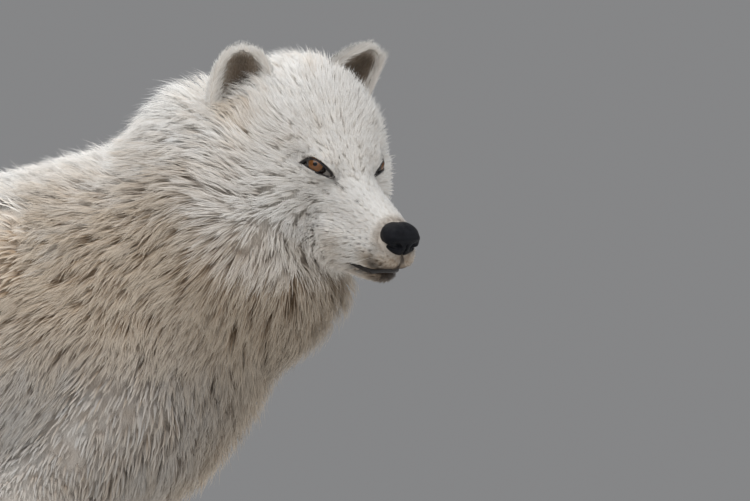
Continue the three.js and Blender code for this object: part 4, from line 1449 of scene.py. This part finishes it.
def richness(points, region):
    """More and finer tufts where the model is looked at most closely."""
    x, y, z = (points - WITHERS).T * 1000
    local = in_head(points)
    rich = np.ones(len(points))
    near = y < -5
    rich[region == "neck"] = np.where(near, 2.25, 0.6)[region == "neck"]
    rich[region == "head"] = np.where(local[:, 1] < 12, 1.6, 0.65)[region == "head"]
    muzzle = (region == "head") & (local[:, 0] > 8)
    rich[muzzle] = np.where(local[:, 1] < 20, 1.35, 0.7)[muzzle]
    trunk = region == "trunk"
    shown = ease(-150, 10, x)
    rich[trunk] = (np.where(near, 1.45, 0.32) * shown + np.where(near, 0.23, 0.18))[trunk]
    legs = np.isin(region, GROUP_NAMES[1:5])
    rich[legs] = np.interp(z[legs], [60, 250, 420], [0.10, 0.095, 0.105])
    rich[region == "tail"] = 0.38
    return rich


def triangle_plan():
    """For every triangle of the skin: its part of the body and how deep the coat is ahead."""
    corners = skin_verts[skin_faces]
    middle = corners.mean(1)
    normals = unit(np.cross(corners[:, 1] - corners[:, 0], corners[:, 2] - corners[:, 0]))
    region = regions(middle)
    depth = coat_depth(middle)
    way = flow(middle, region)
    way = unit(way - dots(way, normals)[:, None] * normals)
    deepest = depth
    for step, share in zip(LOOK_AHEAD, (0.92, 0.85, 0.75)):
        deepest = np.maximum(deepest, share * coat_depth(middle + way * step))
    deepest = np.minimum(deepest, depth * 2.2 + 0.002)
    return middle, region, depth, deepest


def lock_density(points, depth):
    spacing = np.interp(depth, DEPTHS, LOCK_SPACING)
    local = in_head(points)
    nose = ((local - NOSE_AT) / (NOSE_RADII + [0.5, 2.5, 1.5]))
    keep = (dots(nose, nose) > 1.0) & (points[:, 2] > 0.004)
    for side in (1, -1):
        middle, axes = eye_frame(side)
        seen = (local - middle) @ axes.T
        keep &= ~((lid_share(seen[:, 0], seen[:, 1]) < 1.10) & by_eye(seen, 7))
    mouth = (np.abs(local[:, 2] - mouth_height(local[:, 0])) < 1.6) & (local[:, 0] > 62)
    keep &= ~(mouth & (np.abs(local[:, 1]) < 40))
    return keep / spacing**2


def eye_clearance(points):
    """0 at the rim of an eye, rising to 1 away from it."""
    local = in_head(points)
    clear = np.ones(len(points))
    for side in (1, -1):
        middle, axes = eye_frame(side)
        seen = (local - middle) @ axes.T
        near = ease(1.1, 2.8, lid_share(seen[:, 0], seen[:, 1]))
        clear = np.minimum(clear, np.where(seen[:, 2] > -16, near, 1))
    return clear


def grow_locks():
    middle, region, depth, deepest = triangle_plan()
    roots, face = scatter(skin_verts, skin_faces, lock_density(middle, deepest), rng)
    region, depth, deepest = region[face], depth[face], deepest[face]
    count = len(roots)
    clear = eye_clearance(roots)
    length = np.interp(deepest, DEPTHS, TUFT_LENGTHS) * rng.uniform(0.86, 1.14, count)
    length = length * (0.7 + 0.3 * clear)
    on_leg = np.isin(region, GROUP_NAMES[1:5]) & (roots[:, 2] > 0.07)
    length = np.where(on_leg, np.maximum(length, LEG_TUFT), length)
    reach = np.sqrt(np.maximum(length**2 - deepest**2, (0.5 * length) ** 2))
    height = rng.uniform(0.88, 1.0, count) * (0.3 + 0.7 * clear)
    swing = 24 * ripple(roots, 0.08, 21) + rng.normal(0, 8, count) + 9 * ripple(roots, 0.025, 22)
    swing = swing * np.interp(deepest, mm(4, 20, 40), [0.25, 0.6, 1.0])
    path, ups = trace(roots, region, reach, height, 2.1, swing)
    return dict(roots=roots, region=region, depth=deepest, length=length, path=path, ups=ups,
                count=count)


locks = grow_locks()


def grow_tufts(kind):
    """Each lock's tufts start round its root and draw together towards its tip."""
    depth, count = locks["depth"], locks["count"]
    cover, broad, shortest = (np.interp(depth, DEPTHS, kind[key])
                              for key in ("cover", "broad", "shortest"))
    spacing = np.interp(depth, DEPTHS, LOCK_SPACING)
    rich = richness(locks["roots"], locks["region"])
    on_leg = np.isin(locks["region"], GROUP_NAMES[1:5])
    finer = np.clip(rich, np.where(on_leg, 0.15, 0.32), 4) ** -0.45
    width = np.interp(depth, DEPTHS, TUFT_WIDTHS) * finer * broad
    cover = cover * rich * finer
    each = cover * spacing**2 / (width * locks["length"] * SPINDLE)
    number = np.floor(each + rng.random(count)).astype(int)
    owner = np.repeat(np.arange(count), number)
    total = len(owner)
    path, ups = locks["path"][owner], locks["ups"][owner]
    normal = ups[:, 0]
    way = path[:, 1] - path[:, 0]
    way = unit(way - dots(way, normal)[:, None] * normal)
    side = np.cross(normal, way)
    spread = 0.66 * spacing[owner] * np.sqrt(rng.random(total))
    angle = rng.uniform(0, math.tau, total)
    offset = (spread * np.cos(angle))[:, None] * way + (spread * np.sin(angle))[:, None] * side
    clump = np.interp(depth[owner], mm(4, 12, 30, 50), [0.0, 0.03, 0.18, 0.30])
    clump = clump * rng.uniform(0.4, 1.15, total) * kind["gather"]
    gather = 1 - clump[:, None] * STATIONS[None] ** 1.4
    size = shortest[owner] + rng.uniform(0, 0.36, total)
    size = np.where(rng.random(total) < 0.06, size * 1.16, size)
    at = STATIONS[None] * size[:, None]
    spot = np.clip(np.searchsorted(STATIONS, at, side="right") - 1, 0, 2)
    share = (at - STATIONS[spot]) / (STATIONS[spot + 1] - STATIONS[spot])
    pick = np.arange(total)[:, None]
    moved = path[pick, spot] * (1 - share[..., None]) + path[pick, spot + 1] * share[..., None]
    moved = moved + offset[:, None] * gather[..., None]
    loose = rng.normal(0, 1, (total, 3)) * (0.045 * locks["length"][owner])[:, None]
    crown = in_head(path[:, 0])[:, 2] > 30
    stray = rng.random(total) < np.where(crown, 0.28, STRAYS)
    rise = rng.normal(0, 0.024, total) + stray * rng.uniform(0.08, np.where(crown, 0.42, 0.22))
    rise = rise * locks["length"][owner]
    lift = loose + rise[:, None] * ups[:, 3]
    moved = moved + lift[:, None] * (STATIONS**1.6)[None, :, None]
    moved[..., 2] = np.maximum(moved[..., 2], 0.0006)
    moved = lifted_off_lids(moved)
    clear = ~(over_lips(moved[:, 1:]).any(1))
    widths = width[owner] * rng.uniform(0.8, 1.2, total)
    return owner[clear], moved[clear], ups[clear], widths[clear], int(clear.sum())


def lifted_off_lids(points):
    """Paths near the eyes, raised with the skin that goes over the eyes' balls."""
    local = in_head(points.reshape(-1, 3))
    for side in (1, -1):
        middle, axes = eye_frame(side)
        seen = (local - middle) @ axes.T
        near = (np.abs(seen[:, 0]) < 22) & (np.abs(seen[:, 1]) < 22) & (np.abs(seen[:, 2]) < 20)
        x, y, z = seen[near].T
        seen[near, 2] = over_ball(x, y, z, LID_COVER + 0.9)
        local[near] = seen[near] @ axes + middle
    return head_place(local).reshape(points.shape)


def over_lips(points):
    """Points of the coat that would hide the black of the lips or the eyes."""
    shape = points.shape[:-1]
    local = in_head(points.reshape(-1, 3))
    off = local[:, 2] - mouth_height(local[:, 0])
    hidden = ((local[:, 0] > 66) & (np.abs(local[:, 1]) < 34)
              & (np.abs(off) < np.interp(local[:, 0], [66, 84, 110], [1.0, 3.0, 3.6])))
    for side in (1, -1):
        middle, axes = eye_frame(side)
        seen = (local - middle) @ axes.T
        hidden |= (lid_share(seen[:, 0], seen[:, 1]) < 1.12) & by_eye(seen, 7)
    return hidden.reshape(shape)


MOST_TRIANGLES = 190000


def coat_pieces(region, roots):
    """Which tufts go to which piece of the coat."""
    body = (roots - WITHERS) * 1000
    ahead, left = in_head(roots)[:, 0], in_head(roots)[:, 1]
    right = body[:, 1] < 0
    low = body[:, 2] < 640
    rear = body[:, 0] < -60
    masks = {"coat_fore_legs": (region == "fore_left") | (region == "fore_right"),
             "coat_hind_legs": (region == "hind_left") | (region == "hind_right"),
             "coat_tail": region == "tail"}
    for part, first, second, split in (("head", "cheek", "muzzle", ahead > 8),
                                       ("neck", "nape", "throat", low),
                                       ("trunk", "shoulder", "flank", rear)):
        here = region == part
        on_right = left < 0 if part == "head" else right
        for which, chosen in ((first, here & ~split), (second, here & split)):
            masks[f"coat_{which}_right"] = chosen & on_right
            masks[f"coat_{which}_left"] = chosen & ~on_right
    return masks


lock_chance = rng.random(locks["count"])
lock_marks = markings_and_painted_light(locks["roots"], locks["ups"][:, 0])
for kind_name, kind in KINDS.items():
    owner, paths, ups, widths, total = grow_tufts(kind)
    region = locks["region"][owner]
    chance = np.clip(0.5 * lock_chance[owner] + 0.5 * rng.random(total), 0, 1)
    marks = lock_marks[owner]
    on_head = np.flatnonzero(region == "head")
    marks[on_head] = markings_and_painted_light(paths[on_head, 0], ups[on_head, 0])
    marks[:, :2] = np.clip(marks[:, :2] + rng.normal(0, 0.07, (total, 2)), 0, 1)
    unwrapped = unwrap(paths[:, 0], region)
    rings = kind["rings"]
    for name, chosen in coat_pieces(region, paths[:, 0]).items():
        picked = np.flatnonzero(chosen)
        parts = math.ceil(len(picked) * TRIANGLES[rings] / MOST_TRIANGLES)
        for part in range(parts):
            some = picked[part::parts]
            label = f"{name}_{kind_name}" + (f"_{part + 1}" if parts > 1 else "")
            mesh = tuft_mesh(label, paths[some], ups[some], widths[some], 0.32, unwrapped[some],
                             marks[some], chance[some], rings)
            piece(label, mesh, COAT)

# ---------------------------------------------------------------- the ears' coat


def ear_ways(name):
    """Up the ear, across it and out of its mouth, as directions in the room."""
    root, tip, mouth = (np.array(v, float) for v in EARS[name])
    rise = unit(tip - root)
    mouth = unit(mouth - (mouth @ rise) * rise)
    return np.array([rise, unit(np.cross(rise, mouth)), mouth]) @ HEAD_AXES.T


def ear_paths(name, height, turn, depth, up, over, out):
    """Hairs from places on an ear; up, over and out are how far they go, in millimetres."""
    start = ear_leaf(name, height, turn, depth)
    s = STATIONS[None]
    steps = np.stack([up[:, None] * s, over[:, None] * s**1.2, out[:, None] * (1 - (1 - s) ** 2)], -1)
    return start[:, None] + steps @ ear_ways(name) / 1000


def ear_fur(name, count, front, rng):
    """Short fur up the back of an ear, or inside it."""
    height = rng.uniform(-0.12, 0.99, count)
    turn = rng.uniform(0.02, 0.98, count) * math.pi
    face = 1.0 if front else -1.0
    up = rng.uniform(7.0, 12.0, count) * (0.9 if front else 1.0)
    over = rng.normal(0, 1.6, count) + (0 if front else -2.0 * np.cos(turn) * ease(0.7, 1, height))
    out = face * rng.uniform(2.0, 4.5, count) * (0.9 if front else 1.0)
    return ear_paths(name, height, turn, face * 1.2, up, over, out), height, turn


def ear_hairs(name, count, rng):
    """Long hairs that cross the ear's opening from its two edges."""
    low = rng.random(count) < 0.45
    height = np.where(low, rng.uniform(-0.1, 0.35, count), rng.uniform(0.3, 0.86, count))
    edge = rng.random(count) < 0.5
    turn = np.where(edge, rng.uniform(0.02, 0.2, count), rng.uniform(0.8, 0.98, count)) * math.pi
    inward = np.where(edge, -1.0, 1.0)
    up = rng.uniform(12, 24, count)
    over = inward * rng.uniform(3, 12, count)
    out = rng.uniform(2, 9, count)
    return ear_paths(name, height, turn, 1.5, up, over, out), height, turn


def ear_rims(name, count, rng):
    """Fine hairs that stand along the rim of the ear and round its tip."""
    height = np.where(rng.random(count) < 0.4, 0.985 - 0.1 * rng.random(count) ** 2,
                      rng.uniform(-0.1, 0.93, count))
    tip = height > 0.93
    turn = np.where(tip, rng.uniform(0.02, 0.98, count),
                    np.where(rng.random(count) < 0.5, 0.015, 0.985)) * math.pi
    over = np.cos(turn) * rng.uniform(1.0, 5.0, count)
    up = rng.uniform(5, 9, count) * np.where(tip, 0.9, 1.0)
    out = rng.normal(0, 1.6, count)
    return ear_paths(name, height, turn, rng.uniform(-1.5, 1.5, count), up, over, out), height, turn


EAR_SETS = (("back", 3000, 0.15), ("inside", 3400, 0.15), ("hairs", 1300, 0.30), ("rim", 1700, 0.15))
EAR_TUFT = 0.0009


def ear_coat(name, seed):
    rng = np.random.default_rng(seed)
    ways = ear_ways(name)
    columns = []
    for kind, count, tan in EAR_SETS:
        if kind in ("back", "inside"):
            path, height, turn = ear_fur(name, count, kind == "inside", rng)
        else:
            path, height, turn = (ear_hairs if kind == "hairs" else ear_rims)(name, count, rng)
        # inside the ears: tan, and painted shade in the dark channel
        inner_tan, inner_shade = ear_inside(name, height, turn)
        inside = float(kind == "inside")
        marks = np.stack([np.clip(tan + inside * inner_tan + rng.normal(0, 0.08, count), 0, 1),
                          np.full(count, 0.15), inside * inner_shade], -1)
        facing = -ways[2] if kind == "back" else ways[2]
        ups = np.broadcast_to(unit(facing + 0.5 * ways[0]), (count, 4, 3))
        flat = np.stack([0.25 + 0.5 * (kind != "back") + 0.2 * np.cos(turn),
                         np.clip(0.1 + 0.8 * height, 0.01, 0.99)], -1)
        columns.append((path, ups, np.full(count, EAR_TUFT), flat, marks, rng.random(count)))
    path, ups, width, flat, marks, chance = (np.concatenate(c) for c in zip(*columns))
    mesh = tuft_mesh(f"coat_ear_{name}", path, ups, width, 0.4, flat, marks, chance, 1)
    piece(f"coat_ear_{name}", mesh, COAT)


ear_coat("left", 61)
ear_coat("right", 71)

# ---------------------------------------------------------------- whiskers


def whiskers():
    rng = np.random.default_rng(91)
    paths = []
    for side in (1, -1):
        for at_ahead, at_up in DOTS:
            if rng.random() < 0.25:
                continue
            start = np.array([[at_ahead, 0.0, at_up]])
            reach = reach_skin(start, np.array([[0.0, side, 0.0]]))[0]
            root = np.array([at_ahead, side * (reach - 0.5), at_up])
            way = unit([-0.55 + rng.normal(0, 0.1), side * 0.75, -0.35 + rng.normal(0, 0.12)])
            length = rng.uniform(26, 48) * (0.8 if at_ahead > 95 else 1.1)
            share = STATIONS[:, None]
            bend = np.array([-0.25, 0, -0.28]) * length * share**2
            paths.append(head_place(root + way * length * share + bend))
    paths = np.array(paths)
    count = len(paths)
    mesh = tuft_mesh("whiskers", paths, np.broadcast_to([0, 0, 1.0], paths.shape),
                     np.full(count, 0.00042), 0.5, np.full((count, 2), 0.5),
                     np.tile([0.1, 0.2, 0.0], (count, 1)), np.full(count, 0.6), 2)
    piece("whiskers", mesh, COAT)


whiskers()

# ---------------------------------------------------------------- camera, light and floor

LENS_PIXELS = 5700.0
PICTURE = (750, 501)
SENSOR = 36.0
AZIMUTH = math.radians(18)
across = np.array([math.cos(AZIMUTH), math.sin(AZIMUTH), 0.0])
towards = np.array([math.sin(AZIMUTH), -math.cos(AZIMUTH), 0.0])
target = HEAD_AT + across * 0.0312 - np.array([0, 0, 0.0895])
camera_data = bpy.data.cameras.new("camera")
camera_data.sensor_width = SENSOR
camera_data.lens = LENS_PIXELS / PICTURE[0] * SENSOR
camera_data.clip_end = 100
camera = bpy.data.objects.new("camera", camera_data)
camera.matrix_world = Matrix.Translation(Vector(target + 6.0 * towards)) @ Matrix(
    [[across[0], 0, towards[0]], [across[1], 0, towards[1]], [0, 1, 0]]).to_4x4()
bpy.context.scene.collection.objects.link(camera)
bpy.context.scene.camera = camera


def area_light(name, at, aim, size, power, colour=(1, 1, 1)):
    data = bpy.data.lights.new(name, "AREA")
    data.shape = "RECTANGLE"
    data.size, data.size_y = size
    data.energy = power
    data.color = colour
    lamp = bpy.data.objects.new(name, data)
    lamp.location = at
    lamp.rotation_euler = (Vector(aim) - Vector(at)).to_track_quat("-Z", "Y").to_euler()
    bpy.context.scene.collection.objects.link(lamp)


area_light("sky light", (0.5, -2.5, 3.4), (0.1, 0, 0.6), (4.5, 3.4), 130, (0.98, 0.99, 1.0))
area_light("front light", (3.0, -3.4, 1.4), (0.3, 0, 0.6), (3.0, 2.2), 28, (1.0, 0.985, 0.96))
area_light("fill light", (3.0, 1.8, 2.2), (0.2, 0, 0.6), (2.4, 2.0), 26, (0.95, 0.975, 1.0))
area_light("back light", (-1.8, 1.2, 3.6), (0, 0, 0.6), (2.4, 2.0), 112, (0.97, 0.985, 1.0))

FLOOR_REACH = 8.0
floor = raw_mesh("floor", [(-FLOOR_REACH, -FLOOR_REACH, 0), (FLOOR_REACH, -FLOOR_REACH, 0),
                           (FLOOR_REACH, FLOOR_REACH, 0), (-FLOOR_REACH, FLOOR_REACH, 0)],
                 [(0, 1, 2, 3)])
floor.materials.append(floor_material())
floor_piece = bpy.data.objects.new("floor", floor)
bpy.context.scene.collection.objects.link(floor_piece)

world = bpy.data.worlds.new("studio")
world.use_nodes = True
world.node_tree.nodes["Background"].inputs["Color"].default_value = (0.31, 0.312, 0.318, 1)
world.node_tree.nodes["Background"].inputs["Strength"].default_value = 0.76
bpy.context.scene.world = world
bpy.context.scene.view_settings.view_transform = "Standard"
